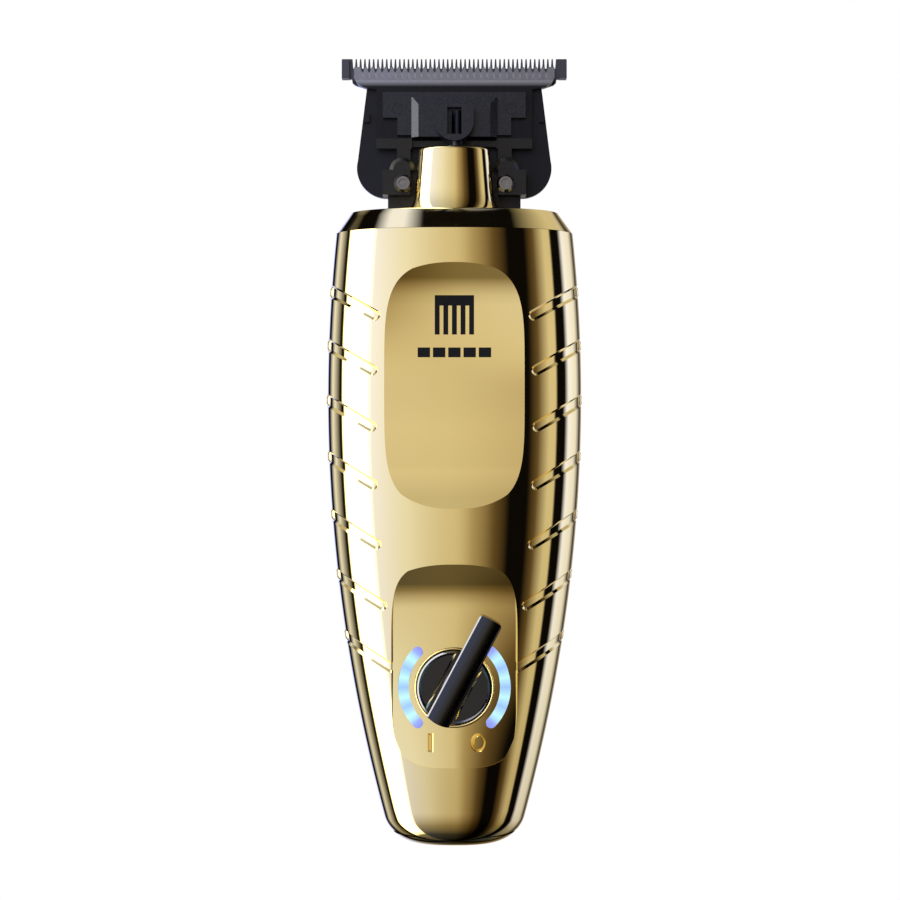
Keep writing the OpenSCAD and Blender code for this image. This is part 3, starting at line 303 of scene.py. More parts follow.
def thumb_tool():
    heights = ([THUMB_Z0 - 1] + spread(THUMB_Z0, THUMB_LIP, 16)
               + spread(THUMB_LIP + 2, THUMB_RAMP - 1, 14)
               + spread(THUMB_RAMP, THUMB_RAMP + THUMB_SWEEP, 24)
               + spread(THUMB_RAMP + THUMB_SWEEP + 0.6, THUMB_Z1 + 1, 4))
    outline = arched_outline(THUMB_W / 2, (THUMB_Z1 - THUMB_Z0) / 2, 3, 4.6, (THUMB_Z0 + THUMB_Z1) / 2)
    return cut(prism("thumb_outline", outline, -60, 0),
               [in_front("thumb_floor", THUMB_W / 2 + 1, heights, thumb_floor)], "INTERSECT")


def panel_front(name, proud):
    """What lies more than proud in front of the switch panel's floor."""
    heights = (spread(PANEL_Z0 - 1, PANEL_RAMP - 0.5, 24)
               + spread(PANEL_RAMP, PANEL_RAMP + PANEL_SWEEP, 24)
               + spread(PANEL_RAMP + PANEL_SWEEP + 0.6, PANEL_Z1 + 1, 4))
    return in_front(name, PANEL_W / 2 + 1, heights, lambda x, z: panel_floor(x, z) + proud)


def panel_tool():
    outline = arched_outline(PANEL_W / 2, (PANEL_Z1 - PANEL_Z0) / 2, 4, 5, (PANEL_Z0 + PANEL_Z1) / 2)
    return cut(prism("panel_outline", outline, -60, 0), [panel_front("panel_floor", 0)], "INTERSECT")


def half_ring(z, front, off, steps):
    """One half of the housing's section, drawn in by off, with the seam's chamfer at its ends."""
    a0 = math.pi if front else 0.0
    w, d = float(half_w(z)) - off, float(fore(z) if front else aft(z)) - off
    ring = []
    for i in range(steps + 1):
        a = a0 + math.pi * i / steps
        ring.append((w * float(signed_power(math.cos(a), 2 / SECTION_N)),
                     d * float(signed_power(math.sin(a), 2 / SECTION_N))))
    if off:
        return ring
    lead = -SEAM if front else SEAM
    inside = [p for p in ring[1:-1] if abs(p[1]) > SEAM * 1.2]
    s = 1 if front else -1
    return ([(-s * (w - SEAM), 0.0), (-s * w, lead)] + inside + [(s * w, lead), (s * (w - SEAM), 0.0)])


def half_solid(name, front, off=0.0, steps=220, rises=260, top=BODY_H, bottom=0.0):
    """One half of the housing as a solid, drawn in by off."""
    zs = [FOOT_H * (1 - math.cos(math.pi / 2 * s)) for s in spread(0, 1, 36)[:-1]]
    zs = [z for z in zs if z > bottom or bottom == 0] if not off else [bottom]
    zs += spread(max(bottom + 0.5, FOOT_H), top, rises)
    rings = []
    for z in zs:
        form = max(z, FOOT_H) if off else z
        rings.append([(x, y, z) for x, y in half_ring(min(form, BODY_H + 2), front, off, steps)])
    shortest = min(len(r) for r in rings)
    assert all(len(r) == shortest for r in rings), "rings differ in length"
    return loft(name, rings)


def grip_heights():
    z1, z0 = BODY_H - 11.4, PANEL_Z1 - 14.7
    for i in range(GRIP_N):
        s = i / (GRIP_N - 1)
        yield z1 - (z1 - z0) * (0.92 * s + 0.08 * s * s)


def pill(length, width, steps=14):
    """A round-ended outline, long in its first direction."""
    r, half = width / 2, (length - width) / 2
    pts = []
    for side in (1, -1):
        for i in range(steps + 1):
            a = math.radians(-90 + 180 * i / steps) + (0 if side > 0 else math.pi)
            pts.append((side * half + r * math.cos(a), r * math.sin(a)))
    return pts


def grip_pocket(side, z):
    """The pocket that a grip pad lies in."""
    outline = pill(GRIP_LEN + 0.1, GRIP_W + 0.1)
    x0, x1 = float(half_w(z)) + 0.12 - GRIP_DEEP - 0.05, float(half_w(z)) + 2
    return loft("pocket", [[(side * x, y, z + v) for y, v in outline] for x in (x0, x1)])


def groove_tool(side, z, stations=44, tip_steps=10):
    """The tool for one slanting groove. It follows the skin from a grip pad to its rounded tip,
    with a flat bottom GROOVE_DEEP under the skin and leaning walls."""
    turn = np.radians(np.linspace(5, 68, 240))
    x1 = float(half_w(z))
    x = x1 * np.cos(turn) ** (2 / SECTION_N)
    zs = z - GROOVE_DROP * (x1 - x) / GROOVE_RUN
    line = np.stack([side * x, -front_at(x, zs), zs], 1)
    way = np.gradient(line, axis=0)
    way /= np.linalg.norm(way, axis=1)[:, None]
    along = np.append(0, np.cumsum(np.linalg.norm(np.diff(line, axis=0), axis=1)))
    out = skin_normals(line)
    across = np.cross(out, way)
    tip = float(np.interp(GROOVE_RUN, x1 - x, along))
    levels = ((-GROOVE_DEEP, -GROOVE_WALL), (0.0, GROOVE_WALL), (0.7, GROOVE_WALL * 4.5))
    verts, faces = [], []
    for level, wider in levels:
        end = GROOVE_TIP + wider
        for j in range(stations + tip_steps):
            if j < stations:
                s = tip * j / stations
                half = GROOVE_HALF + (GROOVE_TIP - GROOVE_HALF) * j / stations + wider
            else:
                a = math.pi / 2 * (j - stations) / (tip_steps - 1)
                s, half = tip + end * math.sin(a), end * math.cos(a)
            at, up, side_way = (np.array([np.interp(s, along, v[:, k]) for k in range(3)])
                                for v in (line, out, across))
            verts += [tuple(at + up * level + side_way * half), tuple(at + up * level - side_way * half)]
    n = 2 * (stations + tip_steps)
    for j in range(0, n - 2, 2):
        for k in (0, 2):
            faces.append([k * n + j, k * n + j + 2, k * n + j + 3, k * n + j + 1])
        for k in (0, 1):
            for e in (0, 1):
                a, b = k * n + j + e, (k + 1) * n + j + e
                faces.append([a, a + 2, b + 2, b])
    for k in (0, 1):
        faces.append([k * n, (k + 1) * n, (k + 1) * n + 1, k * n + 1])
    return mesh_object("groove", verts, faces)


def light_outline(side, w, steps=48):
    """The outline of a light guide: an arc band with round ends, in X and Z."""
    mid = 0.0 if side > 0 else 180.0
    pts = []
    for i in range(steps + 1):
        a = math.radians(mid - LIGHT_TURN + 2 * LIGHT_TURN * i / steps)
        pts.append(((LIGHT_R + w / 2) * math.cos(a), (LIGHT_R + w / 2) * math.sin(a)))
    for end in (1, -1):
        a0 = math.radians(mid + end * LIGHT_TURN)
        cx, cy = LIGHT_R * math.cos(a0), LIGHT_R * math.sin(a0)
        for i in range(1, 12):
            b = a0 + math.pi * i / 12 + (0 if end > 0 else math.pi)
            pts.append((cx + w / 2 * math.cos(b), cy + w / 2 * math.sin(b)))
        if end > 0:
            for i in range(steps + 1):
                a = math.radians(mid + LIGHT_TURN - 2 * LIGHT_TURN * i / steps)
                pts.append(((LIGHT_R - w / 2) * math.cos(a), (LIGHT_R - w / 2) * math.sin(a)))
    return [(x, KNOB_Z + y) for x, y in pts]


def oval(cx, cz, w, h, steps=72):
    return [(cx + w / 2 * math.cos(2 * math.pi * i / steps),
             cz + h / 2 * math.sin(2 * math.pi * i / steps)) for i in range(steps)]


# ---- the gold shells -----------------------------------------------------------------------

MARK_X, MARK_Z, MARK_H = 4.7, 20.8, 3.6


def switch_marks():
    """The tools for the engraved marks for on and off, a bar and a ring, with leaning walls."""
    front, back = -PANEL_Y - 0.5, -PANEL_Y + 0.6
    lean = back - front

    def bar(w, h, y):
        return [(-MARK_X + sx * w, y, MARK_Z + sz * h) for sx, sz in ((-1, -1), (1, -1), (1, 1), (-1, 1))]
    on = loft("on_mark", [bar(0.14 + lean, MARK_H / 2 - 0.35 + lean, front),
                          bar(0.14, MARK_H / 2 - 0.35, back)])
    off = prism("off_mark", oval(MARK_X, MARK_Z, 2.2, MARK_H - 0.7), front, back, flare=lean)
    core = prism("core", oval(MARK_X, MARK_Z, 2.5, MARK_H - 0.4), front, back + 0.01, flare=-lean)
    return [on, cut(off, [core])]


PLATE_R, PLATE_TOP, SOCKET_Y, SOCKET_R = 6.95, 1.05, 3.2, 3.05
CONTACT_X, CONTACT_Y, CONTACT_R = 3.4, -3.8, 1.25


def foot_tools():
    """What passes through the foot: the foot plate's seat, the socket and the contacts."""
    return ([upright("plate_seat", 0, 0, PLATE_R, -1, PLATE_TOP),
             upright("socket_hole", 0, SOCKET_Y, SOCKET_R, -1, 6)]
            + [upright("contact_hole", x, CONTACT_Y, CONTACT_R, -1, 6)
               for x in (CONTACT_X, -CONTACT_X)])


def make_front_shell():
    ob = half_solid("front_shell", True)
    cut(ob, [half_solid("inside", True, off=WALL, steps=60, rises=40, top=BODY_H + 2, bottom=WALL)])
    backing = cut(half_solid("backing", True, steps=80, rises=60),
                  [prism("keep", [(-15, 14), (15, 14), (15, 118), (-15, 118)], -60, -11.3)], "INTERSECT")
    cut(ob, [backing], "UNION")
    cut(ob, [thumb_tool(), panel_tool(), prism("knob_hole", circle(0, KNOB_Z, BEZEL_R, 160), -30, -5)])
    cut(ob, switch_marks() + foot_tools())
    for side in (-1, 1):
        cut(ob, [prism("slot", light_outline(side, LIGHT_W), -30, -5)])
        for z in grip_heights():
            cut(ob, [groove_tool(side, z), grip_pocket(side, z)])
    return ob


def make_back_shell():
    ob = half_solid("back_shell", False)
    cut(ob, [half_solid("inside", False, off=WALL, steps=60, rises=40, top=BODY_H + 2, bottom=WALL)])
    screws = [(side * x, z) for side in (-1, 1) for x, z in POSTS_AT]
    for x, z in screws:
        cut(ob, [cut(prism("post", circle(x, z, 2.6), 0.1, 40),
                     [half_solid("within", False, off=0.3, steps=80, rises=60, bottom=2)], "INTERSECT")],
            "UNION")
    cut(ob, [prism("screw_seat", circle(x, z, 2.2), 7, 40) for x, z in screws])
    cut(ob, [prism("screw_hole", circle(x, z, 1.1), -1, 40) for x, z in screws] + foot_tools())
    cut(ob, [grip_pocket(side, z) for side in (-1, 1) for z in grip_heights()])
    return ob


CAP_Z0, CAP_Z1 = BODY_H + 0.05, BODY_H + 4.3
CAP_IN, CAP_WALL = 3.0, 1.6
MOUTH_W, MOUTH_BACK = 13.4, 5.5
NECK_Y, NECK_H, NECK_W, NECK_LEAN = 2.0, 12.25, 14.0, 0.9
NECK_FRONT, NECK_SKIRT, NECK_WALL = 10.4, 9.2, 1.3


def cap_ring(s, z, off=0.0, steps=360):
    """The head cap's section: the housing's own section, drawn in as the bevel rises."""
    w = float(half_w(BODY_H)) - CAP_IN * s - off
    f = float(fore(BODY_H)) - CAP_IN * 1.35 * s - off
    b = float(aft(BODY_H)) - CAP_IN * 1.35 * s - off
    ring = []
    for i in range(steps):
        c, d = math.cos(2 * math.pi * i / steps), math.sin(2 * math.pi * i / steps)
        ring.append((w * float(signed_power(c, 2 / SECTION_N)),
                     (f if d < 0 else b) * float(signed_power(d, 2 / SECTION_N)), z))
    return ring


def make_head_cap():
    rise = CAP_Z1 - CAP_Z0
    ob = loft("cap_shell", [cap_ring(s, CAP_Z0 + rise * s) for s in (0, 0.03, 0.35, 0.7, 0.93)]
              + [cap_ring(0.97, CAP_Z1 - rise * 0.02, 0.02), cap_ring(1, CAP_Z1, 0.2)])
    inner = loft("inside", [cap_ring(0, CAP_Z0 - 1, CAP_WALL), cap_ring(1, CAP_Z1 - CAP_WALL, CAP_WALL)])
    mouth = prism("mouth", [(-MOUTH_W, CAP_Z0), (MOUTH_W, CAP_Z0), (MOUTH_W, 140),
                            (-MOUTH_W, 140)], -NECK_Y, MOUTH_BACK)
    front = [neck_ring(NECK_SKIRT - 1.6, float(fore(BODY_H)) - CAP_IN * 1.35 - 2.6, 0, 5, z)
             for z in (CAP_Z0, 140)]
    return cut(ob, [inner, mouth, loft("front_mouth", front)])


def crowned_ring(w, f, back, z, steps=96):
    """The neck's section: a straight back edge and sides, and a crowned front."""
    mid, n = 5.4, 2.25
    pts = [(w, back, z), (-w, back, z)]
    for i in range(steps + 1):
        a = math.pi + math.pi * i / steps
        pts.append((w * float(signed_power(math.cos(a), 2 / n)),
                    -mid + (f - mid) * float(signed_power(math.sin(a), 2 / n)), z))
    return pts


def neck_ring(w, f, back, r, z, steps=24):
    """A section that is flat at its back edge and rounded at its two front corners."""
    pts = [(w, back, z), (-w, back, z)]
    for a0, cx in ((180, -w + r), (270, w - r)):
        pts += [(cx + r * math.cos(math.radians(a0 + 90 * i / steps)),
                 -f + r + r * math.sin(math.radians(a0 + 90 * i / steps)), z)
                for i in range(steps + 1)]
    return pts


def neck_rings(off, z0, z1, rounded=0.0, n=70):
    rings = []
    for i in range(n + 1):
        z = z0 + (z1 - z0) * i / n
        u = (z - CAP_Z1) / NECK_H
        flare = max(0.0, 1 - u * 2.6) ** 3
        rim = max(0.0, rounded - (z1 - z))
        take = off + (rounded - math.sqrt(rounded ** 2 - rim ** 2) if rounded else 0)
        w = NECK_W / 2 + NECK_LEAN * (1 - u) + (NECK_SKIRT - NECK_W / 2 - NECK_LEAN) * flare - take
        f = NECK_FRONT + 0.9 * flare - take
        rings.append(crowned_ring(w, f, -NECK_Y + (1 if off else 0), z))
    return rings


def make_neck():
    ob = loft("neck_shell", neck_rings(0.0, CAP_Z1 + 0.05, CAP_Z1 + NECK_H, rounded=0.45))
    return cut(ob, [loft("inside", neck_rings(NECK_WALL, CAP_Z1 - 1, CAP_Z1 + NECK_H + 1))])


def make_grip_pads(name, side):
    """Seven pads with crowned faces and broad chamfers, as one piece for each side."""
    levels = ((0.75, 0.13), (0.6, 0.1), (0.25, -0.12), (0.08, -0.3), (0.0, -0.5), (0.0, -0.75))
    verts, faces = [], []
    for z in grip_heights():
        start, n = len(verts), len(pill(3, 1))
        for inset, h in levels:
            for y, v in pill(GRIP_LEN - 2 * inset, GRIP_W - 2 * inset):
                verts.append((side * float(side_at(y, z + v) + h), y, z + v))
        for j in range(len(levels) - 1):
            a, b = start + j * n, start + (j + 1) * n
            faces += [[a + i, b + i, b + (i + 1) % n, a + (i + 1) % n] for i in range(n)]
        faces += [[start + i for i in range(n)], [len(verts) - 1 - i for i in range(n)]]
    return mesh_object(name, verts, faces)


# ---- switch --------------------------------------------------------------------------------

def on_knob(u, v, h):
    """A point of the knob's own frame: u across the lever, v along it, h out of the panel."""
    a = math.radians(LEVER_LEAN)
    return (u * math.cos(a) + v * math.sin(a), -PANEL_Y - h, KNOB_Z - u * math.sin(a) + v * math.cos(a))


def lathe(name, profile, place=on_knob, steps=144):
    """A solid of revolution round the knob's axis: profile is radius and height."""
    return loft(name, [[place(u, v, h) for u, v in circle(0, 0, r, steps)] for r, h in profile])


def make_knob():
    """The disc with its two sunk faces, and the lever that lies across it."""
    top, chamfer, sunk = 1.2, 0.3, 0.72
    disc = lathe("knob", [(KNOB_R, -2.4), (KNOB_R, top - chamfer), (KNOB_R - chamfer, top)])
    half, land = LEVER_W / 2, 0.8
    for side in (-1, 1):
        rings = []
        for h, grown in ((sunk, 0.0), (top, 0.32), (2.0, 0.85)):
            edge, reach = half + land - grown, KNOB_R - chamfer - 0.45 + grown
            end = math.acos(edge / reach)
            rings.append([on_knob(side * reach * math.cos(a), reach * math.sin(a), h)
                          for a in spread(-end, end, 60)])
        cut(disc, [loft("sunk_face", rings)])
    crown, edge = 5.2, 0.24
    rim = half - edge
    section = [(-half, 0.4), (half, 0.4)]
    rise = [(u, LEVER_PROUD - crown + math.sqrt(crown ** 2 - u * u)) for u in spread(rim, -rim, 28)]
    section += [(half, rise[0][1] - edge)] + rise + [(-half, rise[0][1] - edge)]
    bar = loft("lever", [[on_knob(u, v, h) for u, h in section] for v in (-KNOB_R - 1, LEVER_LEN + 1)])
    sweep = math.asin(half / KNOB_R)
    outline = [(-KNOB_R * math.sin(a), -KNOB_R * math.cos(a)) for a in spread(-sweep, sweep, 20)][::-1]
    corner, tip = 0.7, LEVER_LEN
    for side in (1, -1):
        turn = spread(0.0, math.pi / 2 - 0.1, 8)
        outline += [(side * (half - corner + corner * math.cos(a)),
                     tip - corner - 0.1 + corner * math.sin(a))
                    for a in (turn if side > 0 else turn[::-1])]
        if side > 0:
            outline += [(u, tip - u * u * 0.03) for u in (0.9, 0.45, 0, -0.45, -0.9)]
    cut(bar, [loft("lever_outline", [[on_knob(u, v, h) for u, v in outline] for h in (-1, 8)])],
        "INTERSECT")
    return cut(disc, [bar], "UNION")


def make_bezel():
    """The ring round the knob, which follows the panel's crown."""
    def place(u, v, h):
        x, z = u, KNOB_Z + v
        return (x, -float(panel_floor(x, z)) - h, z)
    r0, r1 = KNOB_R + 0.12, BEZEL_R - 0.05
    profile = [(r0, -1.2), (r0, 0.02), (r0 + 0.09, 0.13), (r0 + 0.24, 0.16), (r1 - 0.14, 0.14),
               (r1 - 0.03, 0.05), (r1, -0.1), (r1, -1.2)]
    steps, n = 144, 8
    verts = [place(r * math.cos(2 * math.pi * i / steps), r * math.sin(2 * math.pi * i / steps), h)
             for i in range(steps) for r, h in profile]
    faces = [[i * n + j, (i + 1) % steps * n + j, (i + 1) % steps * n + (j + 1) % n, i * n + (j + 1) % n]
             for i in range(steps) for j in range(n)]
    return mesh_object("bezel_ring", verts, faces)


def make_light_guide(name, side):
    """A frosted arc with a rounded rim, flush with the panel's crown."""
    levels = ((0.62, 0.07), (0.3, 0.05), (0.12, -0.03), (0.1, -0.2), (0.1, -4.0))
    return loft(name, [[(x, -float(panel_floor(x, z)) - h, z)
                        for x, z in light_outline(side, LIGHT_W - less)] for less, h in levels])


PRINT_TOP, PRINT_W = 107.4, 7.6


def make_print():
    """The pad print in the thumb rest: a plain comb, and a row of dashes under it."""
    blocks = [(-PRINT_W / 2, PRINT_W / 2, PRINT_TOP - 2.0, PRINT_TOP)]
    tooth, gap = 0.95, (PRINT_W - 5 * 0.95) / 4
    blocks += [(-PRINT_W / 2 + i * (tooth + gap), -PRINT_W / 2 + i * (tooth + gap) + tooth,
                PRINT_TOP - 7.6, PRINT_TOP - 2.0 + 0.001) for i in range(5)]
    dash, space = 2.4, 0.55
    blocks += [((i - 2) * (dash + space) - dash / 2, (i - 2) * (dash + space) + dash / 2, 95.4, 97.3)
               for i in range(5)]
    verts, faces = [], []
    for x0, x1, z0, z1 in blocks:
        rows, cols = 12, 6
        start = len(verts)
        for lift in (0.012, -0.1):
            for z in spread(z0, z1, rows):
                verts += [(x, -float(thumb_floor(x, z)) - lift, z) for x in spread(x0, x1, cols)]
        n, size = cols + 1, (rows + 1) * (cols + 1)
        for j in range(rows):
            for i in range(cols):
                for k in (0, size):
                    a = start + k + j * n + i
                    faces.append([a, a + 1, a + n + 1, a + n])
        rim = ([i for i in range(n)] + [j * n + cols for j in range(1, rows + 1)]
               + [rows * n + i for i in range(cols - 1, -1, -1)] + [j * n for j in range(rows - 1, 0, -1)])
        faces += [[start + a, start + b, start + size + b, start + size + a]
                  for a, b in zip(rim, rim[1:] + rim[:1])]
    return mesh_object("thumb_rest_print", verts, faces)


# ---- materials -----------------------------------------------------------------------------

def srgb(code):
    """A hex colour as the linear colour that the shader works in."""
    out = []
    for i in (0, 2, 4):
        c = int(code[i:i + 2], 16) / 255
        out.append(c / 12.92 if c <= 0.04045 else ((c + 0.055) / 1.055) ** 2.4)
    return (*out, 1.0)


def add(tree, kind, links=None, **settings):
    """Adds a node, sets its properties or its inputs by name, and links its inputs."""
    node = tree.nodes.new(kind)
    for key, value in settings.items():
        if hasattr(node, key):
            setattr(node, key, value)
        else:
            node.inputs[int(key[1:]) if key[0] == "i" and key[1:].isdigit()
                        else key.replace("_", " ")].default_value = value
    for key, source in (links or {}).items():
        tree.links.new(source, node.inputs[key])
    return node


def fill_ramp(node, low, high, stops):
    """Puts colour stops, given between low and high, on a ramp."""
    ramp = node.color_ramp
    while len(ramp.elements) < len(stops):
        ramp.elements.new(0.5)
    for e, (at, colour) in zip(ramp.elements, stops):
        e.position = (at - low) / (high - low)
        e.color = colour


def grain(size):
    """The pattern scale that gives features of that size in millimetres."""
    return 1.0 / (size * MM)


def start(name, metallic=0.0, ior=1.5, **sockets):
    m = bpy.data.materials.new(name)
    m.use_nodes = True
    bsdf = m.node_tree.nodes["Principled BSDF"]
    bsdf.inputs["Metallic"].default_value = metallic
    bsdf.inputs["IOR"].default_value = ior
    for key, value in sockets.items():
        bsdf.inputs[key.replace("_", " ")].default_value = value
    return m, m.node_tree, bsdf


def uneven(tree, bsdf, size, colours, roughness, stretch=(1, 1, 1), detail=3.0):
    """Lets colour and roughness wander between two values over size millimetres."""
    coords = add(tree, "ShaderNodeTexCoord")
    place = add(tree, "ShaderNodeMapping", {"Vector": coords.outputs["Object"]}, Scale=stretch)
    noise = add(tree, "ShaderNodeTexNoise", {"Vector": place.outputs["Vector"]}, Scale=grain(size),
                Detail=detail)
    tint = add(tree, "ShaderNodeValToRGB", {"Fac": noise.outputs["Fac"]})
    fill_ramp(tint, 0, 1, [(0.35, srgb(colours[0])), (0.65, srgb(colours[1]))])
    rough = add(tree, "ShaderNodeMapRange", {"Value": noise.outputs["Fac"]}, From_Min=0.35,
                From_Max=0.65, To_Min=roughness[0], To_Max=roughness[1])
    tree.links.new(tint.outputs["Color"], bsdf.inputs["Base Color"])
    tree.links.new(rough.outputs["Result"], bsdf.inputs["Roughness"])
    return place.outputs["Vector"]


def texture(tree, bsdf, vector, size, depth, detail=2.0):
    """A fine relief, depth millimetres high, with grains of that size."""
    noise = add(tree, "ShaderNodeTexNoise", {"Vector": vector}, Scale=grain(size), Detail=detail)
    bump = add(tree, "ShaderNodeBump", {"Height": noise.outputs["Fac"]}, Strength=1.0,
               Distance=depth * MM)
    tree.links.new(bump.outputs["Normal"], bsdf.inputs["Normal"])


def finish(name, size, colours, roughness, relief=None, stretch=(1, 1, 1), **sockets):
    """A material whose colour and roughness wander, with a fine relief if one is given."""
    m, t, bsdf = start(name, **sockets)
    vector = uneven(t, bsdf, size, colours, roughness, stretch)
    if relief:
        texture(t, bsdf, vector, *relief)
    return m


def polished_gold():
    """Zinc alloy, polished and gold plated: a mirror that tints all it shows, with the faint haze
    that a buffing wheel leaves along the body."""
    return finish("polished_gold_plate", 9.0, ("fbe193", "fae092"), (0.035, 0.055),
                  stretch=(1, 1, 0.35), metallic=1.0)


def hard_gold():
    """Hard gold over nickel on turned contacts: yellower than the shells and faintly ringed."""
    return finish("hard_gold_plate", 1.2, ("f3d27c", "e8c068"), (0.14, 0.22), relief=(0.3, 0.002),
                  metallic=1.0)


def painted_teeth_sheen(tree, bsdf, dark, bright, foot):
    """Mixes in a paler colour above that height in millimetres: a painted sheen on the teeth, standing in
    for the light they catch.
    """
    coords = add(tree, "ShaderNodeTexCoord")
    xyz = add(tree, "ShaderNodeSeparateXYZ", {"Vector": coords.outputs["Object"]})
    rise = add(tree, "ShaderNodeMapRange", {"Value": xyz.outputs["Z"]}, From_Min=(foot - 0.5) * MM,
               From_Max=(foot + 0.5) * MM)
    tint = add(tree, "ShaderNodeValToRGB", {"Fac": rise.outputs["Result"]})
    fill_ramp(tint, 0, 1, [(0, srgb(dark)), (1, srgb(bright))])
    tree.links.new(tint.outputs["Color"], bsdf.inputs["Base Color"])


def blackened_steel(name="blackened_tool_steel", dark="333335", bright="5c5c60", foot=151.6):
    """Ground tool steel, chemically blackened: dark and satin, with the grinding's lines along the teeth.
    The teeth are drawn paler, bright above foot: a painted sheen."""
    m, t, bsdf = start(name, metallic=1.0)
    vector = uneven(t, bsdf, 0.35, (dark, dark), (0.34, 0.46), stretch=(3.0, 3.0, 0.12))
    texture(t, bsdf, vector, 0.12, 0.0012)
    # The paler teeth are a painted sheen, standing in for the light that they catch.
    painted_teeth_sheen(t, bsdf, dark, bright, foot)
    return m


def coated_cutter():
    """Steel with a vapour-deposited black carbon coat, with the teeth drawn paler: a painted sheen."""
    m, t, bsdf = start("carbon_coated_steel", metallic=1.0)
    uneven(t, bsdf, 0.8, ("262628", "323235"), (0.26, 0.36), stretch=(1.0, 1.0, 0.4))
    # The paler teeth are a painted sheen, standing in for the light that they catch.
    painted_teeth_sheen(t, bsdf, "2d2d2f", "a6a6aa", 150.6)
    return m


def coated_yoke():
    """The yoke's sintered steel, blackened in the same bath: paler and more even."""
    return finish("blackened_sintered_steel", 0.4, ("3c3c3f", "464649"), (0.3, 0.38),
                  relief=(0.15, 0.0015), metallic=1.0)


def deep_black_steel():
    """Pressed steel of the bracket and the spring, painted black by dipping: satin."""
    return finish("dipped_black_steel", 1.2, ("0d0d0d", "141413"), (0.32, 0.45),
                  relief=(0.5, 0.002), ior=1.5, Specular_Tint=(1.0, 0.94, 0.8, 1.0))


def filled_nylon():
    """Glass-filled nylon, moulded in an eroded tool: black, dull, finely grained."""
    return finish("glass_filled_nylon", 2.5, ("141415", "1b1b1d"), (0.5, 0.62),
                  relief=(0.18, 0.004), ior=1.53, Specular_Tint=(1.0, 0.94, 0.8, 1.0))


def gloss_abs():
    """ABS moulded in a polished tool: deep black with a clean highlight."""
    return finish("polished_black_abs", 6.0, ("030303", "050505"), (0.08, 0.13), ior=1.54,
                  Specular_Tint=(1.0, 0.97, 0.88, 1.0))


def edge_highlight_coat():
    """The knob's edges, under a brighter coat than the rest of the knob so that they catch the lamp as
    white lines: a painted highlight.
    """
    return finish("abs_edge_painted_highlight", 3.0, ("030303", "050505"), (0.05, 0.08), ior=1.54,
                  Coat_Weight=1.0, Coat_IOR=2.2, Coat_Roughness=0.03)


def nickel_screw():
    """Case-hardened screws, nickel plated: bright, with fine turning marks."""
    return finish("nickel_plated_screw", 0.8, ("8d8b86", "83817c"), (0.2, 0.26), metallic=1.0)


def drawn_steel():
    """Spring wire, clips, strips and the ground shaft: plain bright steel, drawn lengthwise."""
    return finish("bright_drawn_steel", 0.6, ("b6b7ba", "9fa0a3"), (0.2, 0.32),
                  stretch=(2, 2, 0.15), metallic=1.0)


def zinc_can():
    """The motor's deep-drawn can, zinc plated: grey, slightly blue, with cloudy passivation."""
    return finish("zinc_plated_can", 4.0, ("aeb2b6", "8f9498"), (0.26, 0.42), relief=(0.4, 0.003),
                  stretch=(1, 1, 0.3), metallic=1.0)


def nitrile():
    """Nitrile rubber, pressed: dull black that greys where it is handled."""
    return finish("nitrile_rubber", 1.5, ("161616", "212120"), (0.7, 0.85), relief=(0.25, 0.006),
                  ior=1.52, Sheen_Weight=0.15)


def lit_diffuser():
    """Opal polycarbonate, lit from behind: icy blue at the ends of the arc, and nearly white over
    each of the four lamps."""
    m, t, bsdf = start("opal_light_guide", ior=1.58)
    vector = uneven(t, bsdf, 1.0, ("eefaff", "e2f6ff"), (0.3, 0.4))
    axis = add(t, "ShaderNodeVectorMath", {0: vector}, operation="SUBTRACT", i1=(0, 0, KNOB_Z * MM))
    xyz = add(t, "ShaderNodeSeparateXYZ", {"Vector": axis.outputs["Vector"]})
    side = add(t, "ShaderNodeMath", {0: xyz.outputs["X"]}, operation="ABSOLUTE")
    angle = add(t, "ShaderNodeMath", {0: xyz.outputs["Z"], 1: side.outputs[0]}, operation="ARCTAN2")
    place = add(t, "ShaderNodeMapRange", {"Value": angle.outputs[0]},
                From_Min=math.radians(-50), From_Max=math.radians(50))
    glow = add(t, "ShaderNodeValToRGB", {"Fac": place.outputs["Result"]})
    stops = [(-50, "8e96f0"), (-43, "9dadf8")]
    for lamp in (-33, -11, 11, 33):
        stops += [(lamp - 5, "b4e4ff"), (lamp, "c4fbff"), (lamp + 5, "b4e4ff"), (lamp + 11, "a0c8fd")]
    fill_ramp(glow, -50, 50, [(a, srgb(c)) for a, c in stops[:-1] + [(43, "9dadf8"), (50, "8e96f0")]])
    t.links.new(glow.outputs["Color"], bsdf.inputs["Emission Color"])
    bsdf.inputs["Emission Strength"].default_value = 0.98
    bsdf.inputs["Specular IOR Level"].default_value = 0.2
    base = add(t, "ShaderNodeVectorMath", {0: glow.outputs["Color"]}, operation="SCALE", Scale=0.08)
    t.links.new(base.outputs["Vector"], bsdf.inputs["Base Color"])
    return m


def lamp_chip():
    """A white lamp: ceramic body, clear window, lit."""
    m, t, bsdf = start("white_lamp", ior=1.5)
    uneven(t, bsdf, 0.4, ("f4f6f2", "dfe8ee"), (0.3, 0.4))
    bsdf.inputs["Emission Color"].default_value = srgb("b8ecff")
    bsdf.inputs["Emission Strength"].default_value = 2.0
    return m


